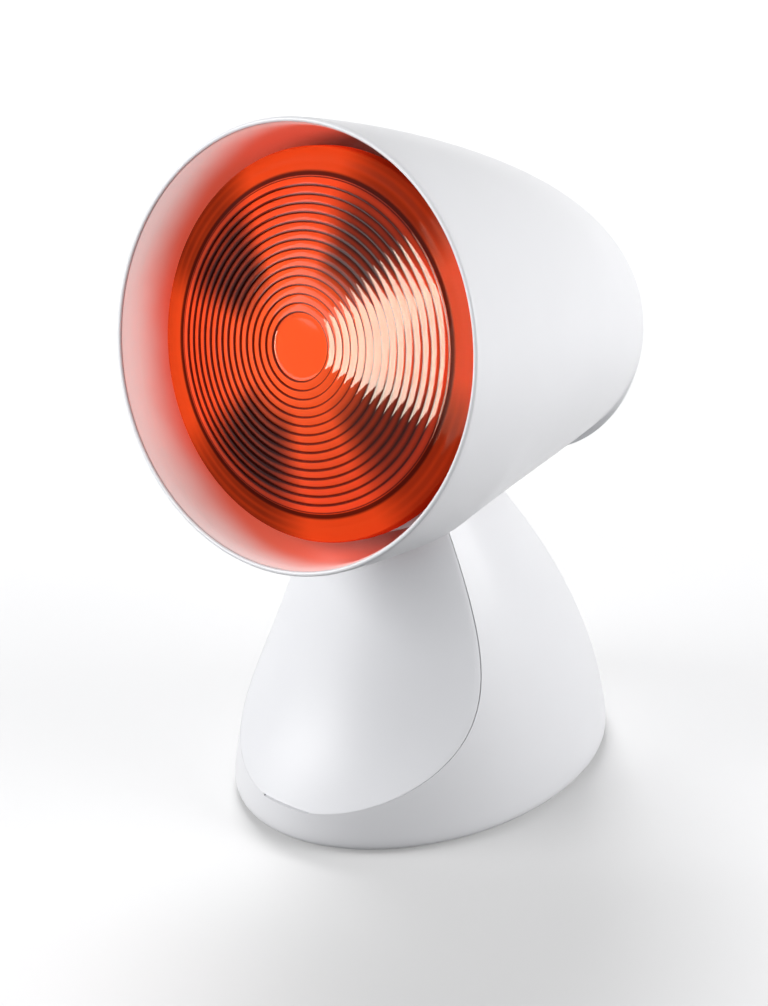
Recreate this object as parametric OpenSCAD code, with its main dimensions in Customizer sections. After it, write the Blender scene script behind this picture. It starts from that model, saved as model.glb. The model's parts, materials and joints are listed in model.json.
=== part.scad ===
// Infrared heat lamp: a shade with a red reflector bulb, tilting on a weighted foot.
// Millimetres, +Z up. The lamp looks along -Y, tilted up. The origin lies on the table,
// under the middle of the foot.

/* [Shade] */
// Outer radius of the shade at its rim
shade_r = 70; // [68:0.5:84]
// Length of the shade from the rim plane to the tail
shade_len = 156; // [154:1:190]
// Wall thickness of the shade
shade_wall = 2.2; // [1.8:0.1:2.8]
// Width of the rounded lip at the rim
lip_w = 1.7; // [1.2:0.1:2]
// Exponent along the shade: a larger value keeps it wide for longer
shade_taper = 1.37; // [1.35:0.01:1.6]
// Exponent across the shade: a larger value gives a blunter tail
shade_fullness = 2.9; // [2.5:0.02:3]
// Distance behind the rim at which the underside ends in a corner
belly_end = 128; // [124:0.5:132]
// Depth of the underside below the shade's axis at that corner
belly_depth = 39; // [38:0.25:41]
// Slope of the underside at the corner, in depth for each mm of length
belly_slope = 0.25; // [0.2:0.005:0.28]
// Radius of the hollow curve of the underside, seen from the side
belly_curve = 900; // [800:50:3000]
// Upward look of the shade in the stored pose
tilt = 16; // [10:1:20]

/* [Hinge] */
// Distance of the hinge pin behind the rim plane
hinge_back = 77; // [75:0.5:79]
// Distance of the hinge pin below the shade's axis
hinge_drop = 45.5; // [45:0.25:46.5]
// Distance of the hinge pin from the middle of the foot, towards the front
hinge_y = 4.1; // [3:0.1:6]
// Height of the hinge pin above the table
hinge_z = 106.9; // [106:0.1:110]
// Radius of the hinge pin
pin_r = 3; // [2.5:0.1:3.2]
// Radial running clearance round the hinge pin
pin_gap = 0.05; // [0.02:0.01:0.1]
// Distance between the inner faces of the fork's ears
fork_gap = 28; // [27:0.5:29]
// Sheet thickness of the fork
fork_t = 2; // [1.5:0.1:2.5]
// Angle between two click positions
click_angle = 6; // [5:0.5:7]
// Number of click positions
click_count = 5; // [3:2:5]

/* [Foot] */
// Width of the foot
foot_w = 108.6; // [104:0.5:130]
// Length of the foot, front to back
foot_l = 145; // [140:1:175]
// Height at which the foot's sides would meet
foot_apex = 150; // [146:1:160]
// Exponent of the foot's taper
foot_power = 1.6; // [1.5:0.05:1.7]
// Forward lean of the neck at the reference height
neck_lean = 14; // [10:0.5:16]
// Height of the top of the neck
neck_top = 106; // [104:0.5:107]
// Wall thickness of the foot
foot_wall = 3; // [2.4:0.1:3.2]
// Thickness of the deck that closes the neck
deck_t = 4; // [3:0.5:5]
// Height of the four rubber feet
pad_h = 2; // [1.5:0.1:3]
// Gap between the lower edge of the foot and the table
skirt_gap = 1.2; // [0.8:0.1:1.4]

/* [Front panel] */
// Thickness of the front panel
panel_t = 1.8; // [1.4:0.1:2.2]
// Width of the joint round the front panel
panel_gap = 0.35; // [0.2:0.05:0.45]
// Distance of the panel's plane from the middle of the foot, at the table
panel_y = 61.4; // [60:0.2:63]
// Backward lean of the panel for each mm of height
panel_lean = 0.3; // [0.28:0.01:0.32]
// How far the toe of the panel flares forward
toe_flare = 21.4; // [20:0.2:23]
// Height over which the toe's flare dies out
toe_height = 21.6; // [20:0.2:24]

/* [Bulb] */
// Radius of the bulb's glass
bulb_r = 61; // [59:0.5:62]
// Distance of the bulb's glass edge behind the rim plane
bulb_recess = 14; // [12:0.5:16]
// Rise of the lens from its edge to its middle
lens_rise = 9.2; // [8:0.2:10]
// Overall length of the bulb
bulb_len = 123; // [121:0.5:124]
// Radius of the plain disc in the middle of the lens
disc_r = 10.45; // [8:0.05:12]
// Number of rings moulded in the lens
ring_count = 15; // [10:1:18]
// Height of each moulded ring
ring_h = 0.45; // [0.2:0.05:0.6]
// Thickness of the glass
glass_t = 2.4; // [2:0.1:3]
// Radius of the screw cap
cap_r = 13.2; // [13:0.05:13.3]

/* [Switch and cord inlet] */
// Height of the middle of the rocker switch
switch_z = 38; // [35:0.5:42]
// Width of the switch's cut-out
switch_w = 13.2; // [12:0.2:14]
// Height of the switch's cut-out
switch_h = 19.4; // [18:0.2:21]
// Height of the cord inlet
inlet_z = 14; // [13:0.25:15]
// Radius of the bore of the cord bushing
inlet_r = 3.2; // [2.8:0.1:3.5]

/* [Hidden] */
$fn = 64;

// Plastic, metal, glass and ceramic colours
white = [0.93, 0.93, 0.95];
steel = [0.72, 0.73, 0.75];
brass = [0.80, 0.66, 0.36];
red_glass = [0.86, 0.20, 0.08];
ceramic = [0.90, 0.88, 0.82];
dark = [0.16, 0.16, 0.17];

lean_at = 110; // height at which the neck's lean is measured
fit = 0.2; // gap between pieces that are fitted together and don't move

// ---- Skins through rings of points -------------------------------------------------

// Closed solid through rings that all have the same number of points, with a middle
// point at each end.
module skin(rings, first, last) {
    n = len(rings[0]);
    m = len(rings);
    points = concat([first], [for (ring = rings) each ring], [last]);
    faces = concat(
        [for (j = [0:n - 1]) [0, 1 + j, 1 + (j + 1) % n]],
        [for (i = [0:m - 2], j = [0:n - 1]) each quad(1 + i * n + j, 1 + i * n + (j + 1) % n,
            1 + (i + 1) * n + (j + 1) % n, 1 + (i + 1) * n + j)],
        [for (j = [0:n - 1]) [m * n + 1, 1 + (m - 1) * n + (j + 1) % n, 1 + (m - 1) * n + j]]);
    polyhedron(points, faces);
}

function quad(a, b, c, d) = [[a, d, c], [a, c, b]];

// Round lead along a list of points: eight-sided rings, square to the path
module lead(path, r) {
    last = len(path) - 1;
    rings = [for (i = [0:last]) lead_ring(path[i],
        unit(path[min(i + 1, last)] - path[max(i - 1, 0)]), r)];
    skin(rings, path[0], path[last]);
}

function unit(v) = v / norm(v);
function lead_ring(p, t, r) =
    let (side = unit(cross(t, abs(t[0]) < 0.7 ? [1, 0, 0] : [0, 1, 0])), up = cross(side, t))
    [for (k = [0:7]) p + r * (cos(45 * k) * side + sin(45 * k) * up)];

// ---- Shade ---------------------------------------------------------------------------

shade_sides = 60; // points round each ring of the shade
flank_from = 50; // angle from the top at which the underside starts to draw in
flank_to = 150; // angle from the top at which it is fully drawn in
corner_l = 2.4; // length over which the drawn-in underside steps out at its end

function shade_radius(s) = shade_r
    * pow(max(0, 1 - pow(s / shade_len, shade_taper)), 1 / shade_fullness);
function belly(s) = belly_depth + belly_slope * (belly_end - s)
    + pow(belly_end - s, 2) / (2 * belly_curve);
function drawn_in(s) = min(shade_radius(s), belly(s));
function shade_depth(s) = drawn_in(s)
    + (shade_radius(s) - drawn_in(s)) * ease((s - belly_end) / corner_l);
function ease(t) = let (c = min(1, max(0, t))) c * c * (3 - 2 * c);
function shade_ring(s, r, depth) = [for (j = [0:shade_sides - 1])
    let (a = 360 * j / shade_sides, from_top = min(a, 360 - a),
        rho = r + (depth - r) * ease((from_top - flank_from) / (flank_to - flank_from)))
    [rho * sin(a), rho * cos(a), -s]];

inner_r = (shade_r - shade_wall) / shade_r; // share by which the inside is narrower
inner_len = (shade_len - shade_wall) / shade_len; // share by which it is shorter

function outer_ring(s) = shade_ring(s, shade_radius(s), shade_depth(s));
function inner_ring(s) = shade_ring(s * inner_len, shade_radius(s) * inner_r, drawn_in(s) * inner_r);
function station(t) = shade_len * (1 - pow(1 - t, 2.2)); // rings crowd towards the tail

outer_steps = 23;
inner_steps = 12;
outer_stations = with_corner([for (i = [1:outer_steps - 1]) station(i / outer_steps)], corner_l * 0.7);
inner_stations = with_corner([for (i = [1:inner_steps - 1]) station(i / inner_steps)], 1.5);

// The stations, with those near the underside's end replaced by that corner's own
function with_corner(list, near) = concat(
    [for (v = list) if (v < belly_end - near) v],
    [belly_end, belly_end + corner_l / 2, belly_end + corner_l],
    [for (v = list) if (v > belly_end + corner_l + near) v]);

// The shade's own frame: origin at the middle of the rim, +Z out of the mouth, +Y up
module in_head() {
    translate([0, -hinge_y, hinge_z])
        rotate([90 - tilt, 0, 0])
            translate([0, hinge_drop, hinge_back])
                children();
}

// Places children at a distance behind the rim plane
module behind(s) {
    translate([0, 0, -s])
        children();
}

module shade_skin() {
    lip_back = shade_r - lip_w;
    lip = [for (a = [0:30:180])
        let (r = shade_r - lip_w / 2 - cos(a) * lip_w / 2, s = 0.9 - sin(a) * 0.9)
        shade_ring(s, r, r)];
    skin(concat(
        [for (i = [len(inner_stations) - 1:-1:0]) inner_ring(inner_stations[i])],
        [shade_ring(3, shade_radius(3) * inner_r, shade_radius(3) * inner_r)],
        lip,
        [for (s = outer_stations) outer_ring(s)]),
        [0, 0, -shade_len * inner_len], [0, 0, -shade_len]);
}

// Opening in the underside that the neck passes through
neck_hole_side = foot_half_w(neck_top - 9) + 2;
neck_hole_front = -(panel_front(neck_top - 9)) + 7.5;
neck_hole_back = foot_mid(neck_top - 18) + foot_half_l(neck_top - 18) + 4;

module neck_hole() {
    mid = (neck_hole_back - neck_hole_front) / 2;
    half = (neck_hole_back + neck_hole_front) / 2;
    translate([0, mid, hinge_z - 30])
        linear_extrude(42)
            polygon([for (a = [0:7.5:352.5])
                [neck_hole_side * rounder(sin(a)), half * rounder(cos(a))]]);
}

function rounder(v) = sign(v) * pow(abs(v), 0.8); // makes an oval a little squarer

boss_r = 4; // bosses inside the tail, for the cradle's screws
boss_at = 33.2; // distance of each boss from the shade's axis
boss_front = 112;
boss_angles = [0, 80, -80]; // measured from the top

function mid_wall(s) = shade_radius(min(shade_len, s * 1.005)) * (1 + inner_r) / 2;

module at_bosses() {
    for (a = boss_angles)
        rotate(-a)
            translate([0, boss_at, 0])
                children();
}

slot_r = 1.4; // cooling slots in the tail
slot_pitch = 5.4;
slot_reach = 19; // no slot goes further than this from the shade's axis

module tail_slots() {
    for (i = [-4:4]) {
        x = i * slot_pitch * 0.82;
        reach = sqrt(slot_reach * slot_reach - x * x) - slot_r;
        translate([x, 4.2, -shade_len - 1])
            hull() {
                for (y = [-0.55 * reach, reach])
                    translate([0, y, 0])
                        cylinder(r = slot_r, h = 22, $fn = 12);
            }
    }
}

module head_shell() {
    color(white)
        difference() {
            in_head()
                difference() {
                    union() {
                        shade_skin();
                        intersection() {
                            at_bosses()
                                translate([0, 0, -shade_len])
                                    rotate(9)
                                        cylinder(r = boss_r, h = shade_len - boss_front, $fn = 18);
                            rotate_extrude()
                                polygon(concat([[0, -boss_front]],
                                    [for (s = [boss_front:4:shade_len]) [mid_wall(s), -s]],
                                    [[0, -shade_len * 0.99]]));
                        }
                    }
                    tail_slots();
                    at_bosses()
                        translate([0, 0, -boss_front - 10])
                            cylinder(r = 1.3, h = 11, $fn = 16);
                }
            neck_hole();
        }
}

// ---- Bulb ------------------------------------------------------------------------------

band_l = 6; // straight band where the lens meets the reflector
bulb_front = bulb_recess - lens_rise;
bulb_back = bulb_front + bulb_len;
contact_l = 1.8;
insulator_l = 2;
cap_l = 26;
cap_back = bulb_back - contact_l - insulator_l;
cap_front = cap_back - cap_l;
neck_r = 22; // glass neck behind the reflector
neck_front = 76;
neck_back = cap_front - 4;
band_back = bulb_recess + band_l;
lens_sphere = (bulb_r * bulb_r + lens_rise * lens_rise) / (2 * lens_rise);

function lens_s(r) = bulb_recess - (sqrt(lens_sphere * lens_sphere - r * r) - (lens_sphere - lens_rise));
function glass_r(s) = sqrt(pow(bulb_r - 1, 2)
    - (pow(bulb_r - 1, 2) - neck_r * neck_r) * (s - band_back) / (neck_front - band_back));

ring_pitch = (bulb_r - 5 - disc_r) / ring_count;
ring_points = [for (i = [0:ring_count - 1], k = [0, 1, 2])
    let (r = disc_r + (i + [0.1, 0.5, 0.9][k]) * ring_pitch)
    [r, -lens_s(r) + (k == 1 ? ring_h : 0)]];

module bulb_lens() {
    color(red_glass)
        in_head()
            rotate_extrude()
                polygon(concat(
                    [[0, -bulb_front], [disc_r, -lens_s(disc_r)]],
                    ring_points,
                    [[bulb_r - 1, -lens_s(bulb_r - 1)], [bulb_r, -bulb_recess - 1],
                        [bulb_r, -bulb_recess - 3.5], [bulb_r - glass_t, -bulb_recess - 3.5]],
                    [for (r = [bulb_r - glass_t - 2:-8:0]) [r, -lens_s(r) - glass_t]],
                    [[0, -bulb_front - glass_t]]));
}

reflector_stations = [for (i = [0:10]) band_back + (neck_front - band_back) * i / 10];

module bulb_reflector() {
    color(red_glass)
        in_head()
            rotate_extrude()
                polygon(concat(
                    [[bulb_r - glass_t, -bulb_recess - 3.6], [bulb_r, -bulb_recess - 3.6],
                        [bulb_r, -band_back + 1]],
                    [for (s = reflector_stations) [glass_r(s), -s]],
                    [[neck_r - 1, -neck_back], [cap_r - 0.6, -cap_front + 0.1],
                        [cap_r - 2, -cap_front + 0.1], [neck_r - 3, -neck_back + 2]],
                    [for (i = [10:-1:0]) [glass_r(reflector_stations[i]) - glass_t, -reflector_stations[i]]]));
}

thread_pitch = 3.6;

// Outline of a rolled screw shell: rounded ridges, one for each turn
function thread_points(r, from, to) = [for (s = [from:thread_pitch / 4:to])
    [r - 0.45 + 0.45 * cos(360 * (s - from) / thread_pitch), -s]];

module bulb_cap() {
    color(brass)
        in_head()
            rotate_extrude()
                polygon(concat(
                    [[cap_r - 0.5, -cap_front]],
                    thread_points(cap_r, cap_front + 3, cap_back - 3),
                    [[cap_r - 4, -cap_back], [cap_r - 4.6, -cap_back + 0.5],
                        [cap_r - 1.6, -cap_back + 4], [cap_r - 1.6, -cap_front - 1.2],
                        [cap_r - 0.5, -cap_front - 1.2]]));
}

module bulb_cap_insulator() {
    color(dark)
        in_head()
            behind(cap_back + insulator_l)
                cylinder(r1 = 5.5, r2 = cap_r - 4.8, h = insulator_l + 0.4);
}

module bulb_contact() {
    color(steel)
        in_head()
            behind(bulb_back)
                cylinder(r1 = 4, r2 = 4.8, h = contact_l);
}

filament_s = 52;
filament_r = 9;

module bulb_filament() {
    color(steel)
        in_head()
            behind(filament_s)
                rotate([0, 0, 120])
                    rotate_extrude(angle = 300)
                        translate([filament_r, 0])
                            circle(r = 0.9, $fn = 16);
}

module filament_leads() {
    color(steel)
        in_head() {
            for (a = [116, 64])
                rotate(a)
                    translate([filament_r, 0, -cap_back + 6])
                        cylinder(r = 0.6, h = cap_back - 6 - filament_s, $fn = 16);
            behind(cap_back - 5)
                cylinder(r = cap_r - 1.7, h = 6);
        }
}

// ---- Lamp holder, heat shield and cradle ----------------------------------------------

holder_r = 19.5;
holder_front = cap_front - 0.7;
holder_back = bulb_back + 4;
socket_r = cap_r + 0.9; // inside of the holder's brass thread
socket_t = 0.7;

module lamp_holder() {
    color(ceramic)
        in_head()
            rotate_extrude()
                polygon([[socket_r + socket_t + 0.1, -holder_front], [holder_r - 1, -holder_front],
                    [holder_r, -holder_front - 1], [holder_r, -holder_back + 8],
                    [12, -holder_back], [2.5, -holder_back], [2.5, -bulb_back - 1],
                    [socket_r + socket_t + 0.1, -bulb_back - 1]]);
}

module holder_thread() {
    color(brass)
        in_head()
            rotate_extrude()
                polygon([[socket_r, -holder_front - 1], [socket_r + socket_t, -holder_front - 1],
                    [socket_r + socket_t, -cap_back - 1], [socket_r, -cap_back - 1]]);
}

module holder_contact() {
    color(brass)
        in_head() {
            behind(bulb_back + 0.9)
                cylinder(r = 5, h = 0.8);
            behind(holder_back + 1)
                cylinder(r = 2.4, h = holder_back + 1 - bulb_back - 0.5);
        }
}

shield_t = 0.8;
shield_front = 56;
shield_front_r = 43;
shield_back = cap_front - 4;
shield_back_r = 27;
shield_collar = 8;
collar_r = holder_r + fit;

module heat_shield() {
    color(steel)
        in_head()
            rotate_extrude()
                polygon([[shield_front_r, -shield_front], [shield_front_r + shield_t, -shield_front],
                    [shield_back_r + shield_t, -shield_back], [collar_r + shield_t, -shield_back - 2],
                    [collar_r + shield_t, -holder_front - shield_collar],
                    [collar_r, -holder_front - shield_collar], [collar_r, -shield_back - 1.2],
                    [shield_back_r, -shield_back + 0.6]]);
}

ring_front = 108;
ring_back = 122;
ring_t = 3;
band_r = collar_r; // bore of the cradle's ring
lug_r = 7;
lug_t = 4.5;
lug_out = fork_gap / 2 - 1; // outer face of each lug
arm_w = 2 * lug_out;
shield_slope = (shield_front_r - shield_back_r) / (shield_back - shield_front);

// Underside of the heat shield, with the gap to the arm below it
function arm_top(s) = -(shield_front_r + shield_t + 0.4 - shield_slope * (s - shield_front));

// Profile pieces of the cradle lie in the plane of the shade's axis, drawn as (height, -s)
module across(width) {
    translate([-width / 2, 0, 0])
        rotate([90, 0, 90])
            linear_extrude(width)
                children();
}

module at_hinge() {
    translate([0, -hinge_drop, -hinge_back])
        children();
}

module along_x(x, r, length) {
    translate([x, 0, 0])
        rotate([0, 90, 0])
            cylinder(r = r, h = length);
}

module lamp_cradle() {
    color(steel)
        in_head()
            difference() {
                union() {
                    behind(ring_back)
                        cylinder(r = band_r + ring_t, h = ring_back - ring_front);
                    for (a = boss_angles)
                        rotate(-a)
                            translate([-4, band_r + 1, -boss_front])
                                cube([8, boss_at - band_r - 1, 3]);
                    at_bosses()
                        behind(boss_front)
                            cylinder(r = boss_r, h = 3);
                    across(arm_w)
                        polygon([[arm_top(68), -68], [arm_top(90), -90], [-band_r - 1, -ring_front],
                            [-band_r - 1, -ring_back], [-band_r - ring_t - 1, -ring_back],
                            [-band_r - ring_t - 2, -ring_front - 2], [arm_top(90) - 4, -89],
                            [-hinge_drop + 1, -hinge_back - 6.5], [-hinge_drop + 1, -hinge_back + 6.5],
                            [arm_top(68) - 3, -68]]);
                    at_hinge()
                        for (x = [-lug_out, lug_out - lug_t])
                            along_x(x, lug_r, lug_t);
                }
                // Bore for the holder, taken through the arm as well
                behind(ring_back + 1)
                    cylinder(r = band_r, h = ring_back - ring_front + 2);
                at_bosses()
                    behind(boss_front + 1)
                        cylinder(r = 1.7, h = 5);
                for (x = [-1, 1])
                    translate([x * (band_r + ring_t / 2), 0, -(ring_front + ring_back) / 2])
                        along_x(-3, 1.5, 6);
                // Room between the lugs
                at_hinge() {
                    along_x(-lug_out + lug_t, lug_r + 1.5, arm_w - 2 * lug_t);
                    for (x = [-lug_out, lug_out - lug_t])
                        along_x(x - 1, bush_r + 0.02, lug_t + 2);
                }
            }
}

bush_r = pin_r + 1.5;

module pivot_bushes() {
    color(brass)
        in_head()
            at_hinge()
                for (x = [-lug_out, lug_out - lug_t])
                    difference() {
                        along_x(x, bush_r, lug_t);
                        along_x(x - 1, pin_r + pin_gap, lug_t + 2);
                    }
}

module pivot_washers() {
    washer_t = 0.6;
    color(dark)
        at_pin()
            for (x = [-lug_out - 0.8, lug_out + 0.8 - washer_t])
                difference() {
                    along_x(x, lug_r - 1, washer_t);
                    along_x(x - 1, pin_r + pin_gap, washer_t + 2);
                }
}

module screw(head_r, head_h, r, length) {
    cylinder(r = head_r, h = head_h);
    translate([0, 0, -length])
        cylinder(r = r, h = length + head_h / 2);
}

module shell_screws() {
    color(steel)
        in_head()
            at_bosses()
                behind(boss_front - 3)
                    screw(2.8, 1.8, 1.25, 11);
}

module holder_screws() {
    color(steel)
        in_head()
            for (x = [-1, 1])
                translate([x * (band_r + ring_t), 0, -(ring_front + ring_back) / 2])
                    rotate([0, 90 * x, 0])
                        screw(2.6, 1.6, 1.45, ring_t + 0.1);
}

// ---- Click mechanism --------------------------------------------------------------------

sector_t = 3;
sector_r = 22;
sector_half = click_angle * (click_count - 1) / 2 + 8;
notch_r = 1;

// Toothed sector below the pin, with one notch for each click position
module click_sector() {
    color(steel)
        at_pin()
            difference() {
                union() {
                    across(sector_t)
                        polygon(concat([[0, 0]], [for (a = [-sector_half:2:sector_half])
                            [sector_r * sin(a), -sector_r * cos(a)]]));
                    along_x(-lug_out + lug_t, pin_r + 2.2, arm_w - 2 * lug_t);
                }
                along_x(-lug_out, pin_r + pin_gap, arm_w);
                for (i = [0:click_count - 1])
                    rotate([(i - (click_count - 1) / 2) * click_angle, 0, 0])
                        translate([0, 0, -sector_r])
                            along_x(-sector_t, notch_r, 2 * sector_t);
            }
}

module at_pin() {
    translate([0, -hinge_y, hinge_z])
        children();
}

ear_out = fork_gap / 2 + fork_t;
pin_head = 1.5;
clip_t = 0.8;

module hinge_pin() {
    pin_end = ear_out + 1.6;
    color(steel)
        at_pin()
            difference() {
                union() {
                    along_x(-ear_out - pin_head, pin_r, ear_out + pin_head + pin_end);
                    along_x(-ear_out - pin_head, pin_r + 2, pin_head);
                }
                difference() {
                    along_x(ear_out + 0.3, pin_r + 1, clip_t + 0.2);
                    along_x(ear_out, pin_r - 0.8, clip_t + 1);
                }
            }
}

module pin_clip() {
    color(dark)
        at_pin()
            translate([ear_out + 0.4, 0, 0])
                rotate([0, 90, 0])
                    rotate([0, 0, 30])
                        rotate_extrude(angle = 300)
                            translate([pin_r - 0.75, 0])
                                square([2.4, clip_t]);
}

deck_z = neck_top - 9; // top face of the deck inside the neck
strap_half = 9;
ear_half = 7.5;

module hinge_fork() {
    ear_h = hinge_z - deck_z;
    color(steel)
        difference() {
            union() {
                translate([-ear_out, -hinge_y - strap_half, deck_z])
                    cube([2 * ear_out, 2 * strap_half, fork_t]);
                for (x = [-ear_out, fork_gap / 2])
                    translate([x, -hinge_y, deck_z]) {
                        translate([0, -ear_half, 0])
                            cube([fork_t, 2 * ear_half, ear_h]);
                        translate([0, 0, ear_h])
                            along_x(0, ear_half, fork_t);
                    }
            }
            at_pin()
                along_x(-ear_out - 1, pin_r + pin_gap, 2 * ear_out + 2);
            // Slot for the sector
            translate([-sector_t / 2 - 1, -hinge_y - 7.7, deck_z - 1])
                cube([sector_t + 2, 15.4, fork_t + 2]);
            at_fork_screws()
                translate([0, 0, -1])
                    cylinder(r = 1.7, h = fork_t + 2);
        }
}

fork_screw_x = 5.4;

module at_fork_screws() {
    for (x = [-fork_screw_x, fork_screw_x])
        translate([x, -hinge_y, deck_z])
            children();
}

module fork_screws() {
    color(steel)
        at_fork_screws()
            translate([0, 0, fork_t])
                screw(2.4, 1.6, 1.25, fork_t + deck_t - 0.5);
}

spring_t = 0.5;
spring_w = 7;
spring_seat = 20.5; // distance of the spring's screw behind the pin
spring_tip = hinge_z - sector_r;

// Outline of a strip of even thickness below a list of points
function strip(points, t) = concat(points, [for (i = [len(points) - 1:-1:0])
    let (d = unit(points[min(i + 1, len(points) - 1)] - points[max(i - 1, 0)]))
    points[i] + t * [d[1], -d[0]]]);

// Leaf spring under the deck, with a bent nose that rests in a notch
module click_spring() {
    nose = 0.55;
    seat = deck_z - deck_t - spring_tip;
    route = [[-7, -2.6], [-1.5, -1], [-0.5, nose], [0.5, nose], [1.5, -1], [5, -2.2], [12.5, -2],
        [14, -1], [16, seat - 1.4], [17.2, seat], [24, seat]];
    color(steel)
        difference() {
            translate([0, -hinge_y, spring_tip - 0.1])
                across(spring_w)
                    polygon(strip([for (p = route) p + [0, p[0] > 15 ? 0.1 : 0]], spring_t));
            at_spring_screw()
                translate([0, 0, -5])
                    cylinder(r = 1.7, h = 10);
        }
}

module at_spring_screw() {
    translate([0, -hinge_y + spring_seat, deck_z - deck_t])
        children();
}

module spring_screw() {
    color(steel)
        at_spring_screw()
            translate([0, 0, -spring_t - 0.05])
                rotate([180, 0, 0])
                    screw(2.6, 1.6, 1.25, spring_t + deck_t - 0.8);
}

// ---- Foot ---------------------------------------------------------------------------------

function foot_share(z) = 1 - pow(max(z, 0) / foot_apex, foot_power);
function foot_half_w(z) = foot_w / 2 * foot_share(z);
function foot_half_l(z) = foot_l / 2 * foot_share(z);
function foot_mid(z) = -neck_lean * pow(max(z, 0) / lean_at, 2);

// The panel's face: its distance in front of the middle, and its curve across
function panel_front(z) = -(panel_y - panel_lean * z + toe_flare * exp(-pow(z / toe_height, 1.4)));
panel_bulge = 53;
function panel_span(z) = foot_w * (0.563 - 0.00195 * z);
function panel_face(x, z) = panel_front(z)
    + panel_bulge * (1 - sqrt(1 - pow(min(0.99, abs(x) / panel_span(z)), 2)));

function foot_front(x, z, inset) = foot_mid(z)
    - (foot_half_l(z) - inset) * sqrt(max(0, 1 - pow(x / (foot_half_w(z) - inset), 2)));

// Half-width of the panel at a height: where its face meets the foot's side
function panel_half(z) = foot_front(0, z, 0) >= panel_front(z) ? 0
    : halve(0, foot_half_w(z) * 0.999, z, 0, 24);
function halve(low, high, z, inset, left) = left == 0 ? (low + high) / 2
    : let (x = (low + high) / 2)
    foot_front(x, z, inset) < panel_face(x, z) ? halve(x, high, z, inset, left - 1)
    : halve(low, x, z, inset, left - 1);

// Lowest height at which the panel's face cuts the foot
panel_low = lowest(6, 30, 24);
function lowest(low, high, left) = left == 0 ? high
    : let (z = (low + high) / 2)
    foot_front(0, z, 0) >= panel_front(z) ? lowest(z, high, left - 1) : lowest(low, z, left - 1);

panel_step = 0.5; // height of the recess's sloping lower edge
panel_base = panel_low + panel_step;
side_points = 36; // points round the side and back of each ring of the foot
front_points = 14; // points across the panel

// One ring of the foot: round the back from crease to crease, then across the front
function foot_ring(z, inset, recess) =
    let (up = max(z, panel_base), w = panel_half(up), a = asin(w / foot_half_w(up)))
    concat(
        [for (i = [0:side_points - 1]) foot_point(z, inset, a + (360 - 2 * a) * i / (side_points - 1))],
        [for (i = [0:front_points]) let (k = 2 * i / front_points - 1)
            recess == 0 ? foot_point(z, inset, a * k * 0.96)
            : let (x = (w - panel_bevel) * k) [x, panel_face(x, z) + recess, z]]);

// A point of the foot's oval; the angle starts at the front
function foot_point(z, inset, a) =
    [(foot_half_w(z) - inset) * sin(a), foot_mid(z) - (foot_half_l(z) - inset) * cos(a), z];

panel_bevel = 0.8; // the panel's edges lean in by this much

skirt = [[skirt_gap, 2.2], [skirt_gap + 0.6, 1], [skirt_gap + 1.9, 0.25], [skirt_gap + 4.5, 0]];
ring_heights = [0, 0.3, 0.9, 1.8, 3, 4.6, 6.6, 9.2, 12.5, 16.5, 21.5, 28, 36, 45, 55, 66, 76, 84];
cavity_top = deck_z - deck_t;

// The foot's outside, cut at the given inset from its surface
function foot_rings(top) = concat(
    [for (s = skirt) foot_ring(s[0], s[1], 0)],
    [foot_ring((skirt_gap + 4.5 + panel_low) / 2, 0, 0), foot_ring(panel_low, 0, 0)],
    [for (h = ring_heights) if (panel_base + h < top - 2)
        foot_ring(panel_base + h, 0, panel_t + panel_gap)],
    [foot_ring(top - 1, 0, panel_t + panel_gap), foot_ring(top, 0.6, panel_t + panel_gap + 0.6)]);

// Rings of a hollow inside the foot: an oval, kept back from the panel's recess
function hollow_ring(z, inset) =
    let (up = max(z, panel_base), a = asin(panel_half(up) / foot_half_w(up)))
    [for (i = [0:side_points + front_points])
        let (k = i < side_points ? a + (360 - 2 * a) * i / (side_points - 1)
                : a * 0.96 * (2 * (i - side_points) / front_points - 1),
            p = foot_point(z, inset, k),
            wall = panel_face(p[0], up) + panel_t + panel_gap + foot_wall)
        [p[0], z < panel_base - 1 ? p[1] : max(p[1], wall), z]];

module foot_skin() {
    cavity = [for (z = [cavity_top, 84, 74, 62, 50, 40, 31, 24, 19]) hollow_ring(z, foot_wall)];
    lower = [hollow_ring(panel_base - 1.01, foot_wall), hollow_ring(8, foot_wall),
        hollow_ring(skirt_gap + 4.5, foot_wall + 0.2), hollow_ring(skirt_gap, foot_wall + 0.4)];
    cup = [for (z = [neck_top, (neck_top + deck_z) / 2, deck_z]) hollow_ring(z, foot_wall)];
    skin(concat(cavity, lower, foot_rings(neck_top), cup),
        [0, foot_mid(cavity_top), cavity_top], [0, foot_mid(deck_z), deck_z]);
}

// Frame on the back of the foot, with +Z out of the wall
switch_lean = atan((foot_back(switch_z - 8) - foot_back(switch_z + 8)) / 16);
function foot_back(z) = foot_mid(z) + foot_half_l(z);
module at_switch() {
    translate([0, foot_back(switch_z), switch_z])
        rotate([switch_lean - 90, 0, 0])
            children();
}

bezel_w = switch_w + 2.6;
bezel_h = switch_h + 2.6;
bezel_t = 1.6;
plinth_w = bezel_w + 2.4; // flat plinth under the bezel
plinth_h = bezel_h + 2.4;

// Block with rounded upright edges, standing on z = 0
module rounded_block(w, h, t, r) {
    linear_extrude(t)
        polygon([for (q = [[1, 1, 0], [-1, 1, 90], [-1, -1, 180], [1, -1, 270]], a = [0:18:90])
            [q[0] * (w / 2 - r) + r * cos(q[2] + a), q[1] * (h / 2 - r) + r * sin(q[2] + a)]]);
}

// The same for the cord inlet
inlet_lean = atan((foot_back(inlet_z - 6) - foot_back(inlet_z + 6)) / 12);
module at_inlet() {
    translate([0, foot_back(inlet_z), inlet_z])
        rotate([inlet_lean - 90, 0, 0])
            children();
}

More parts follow.
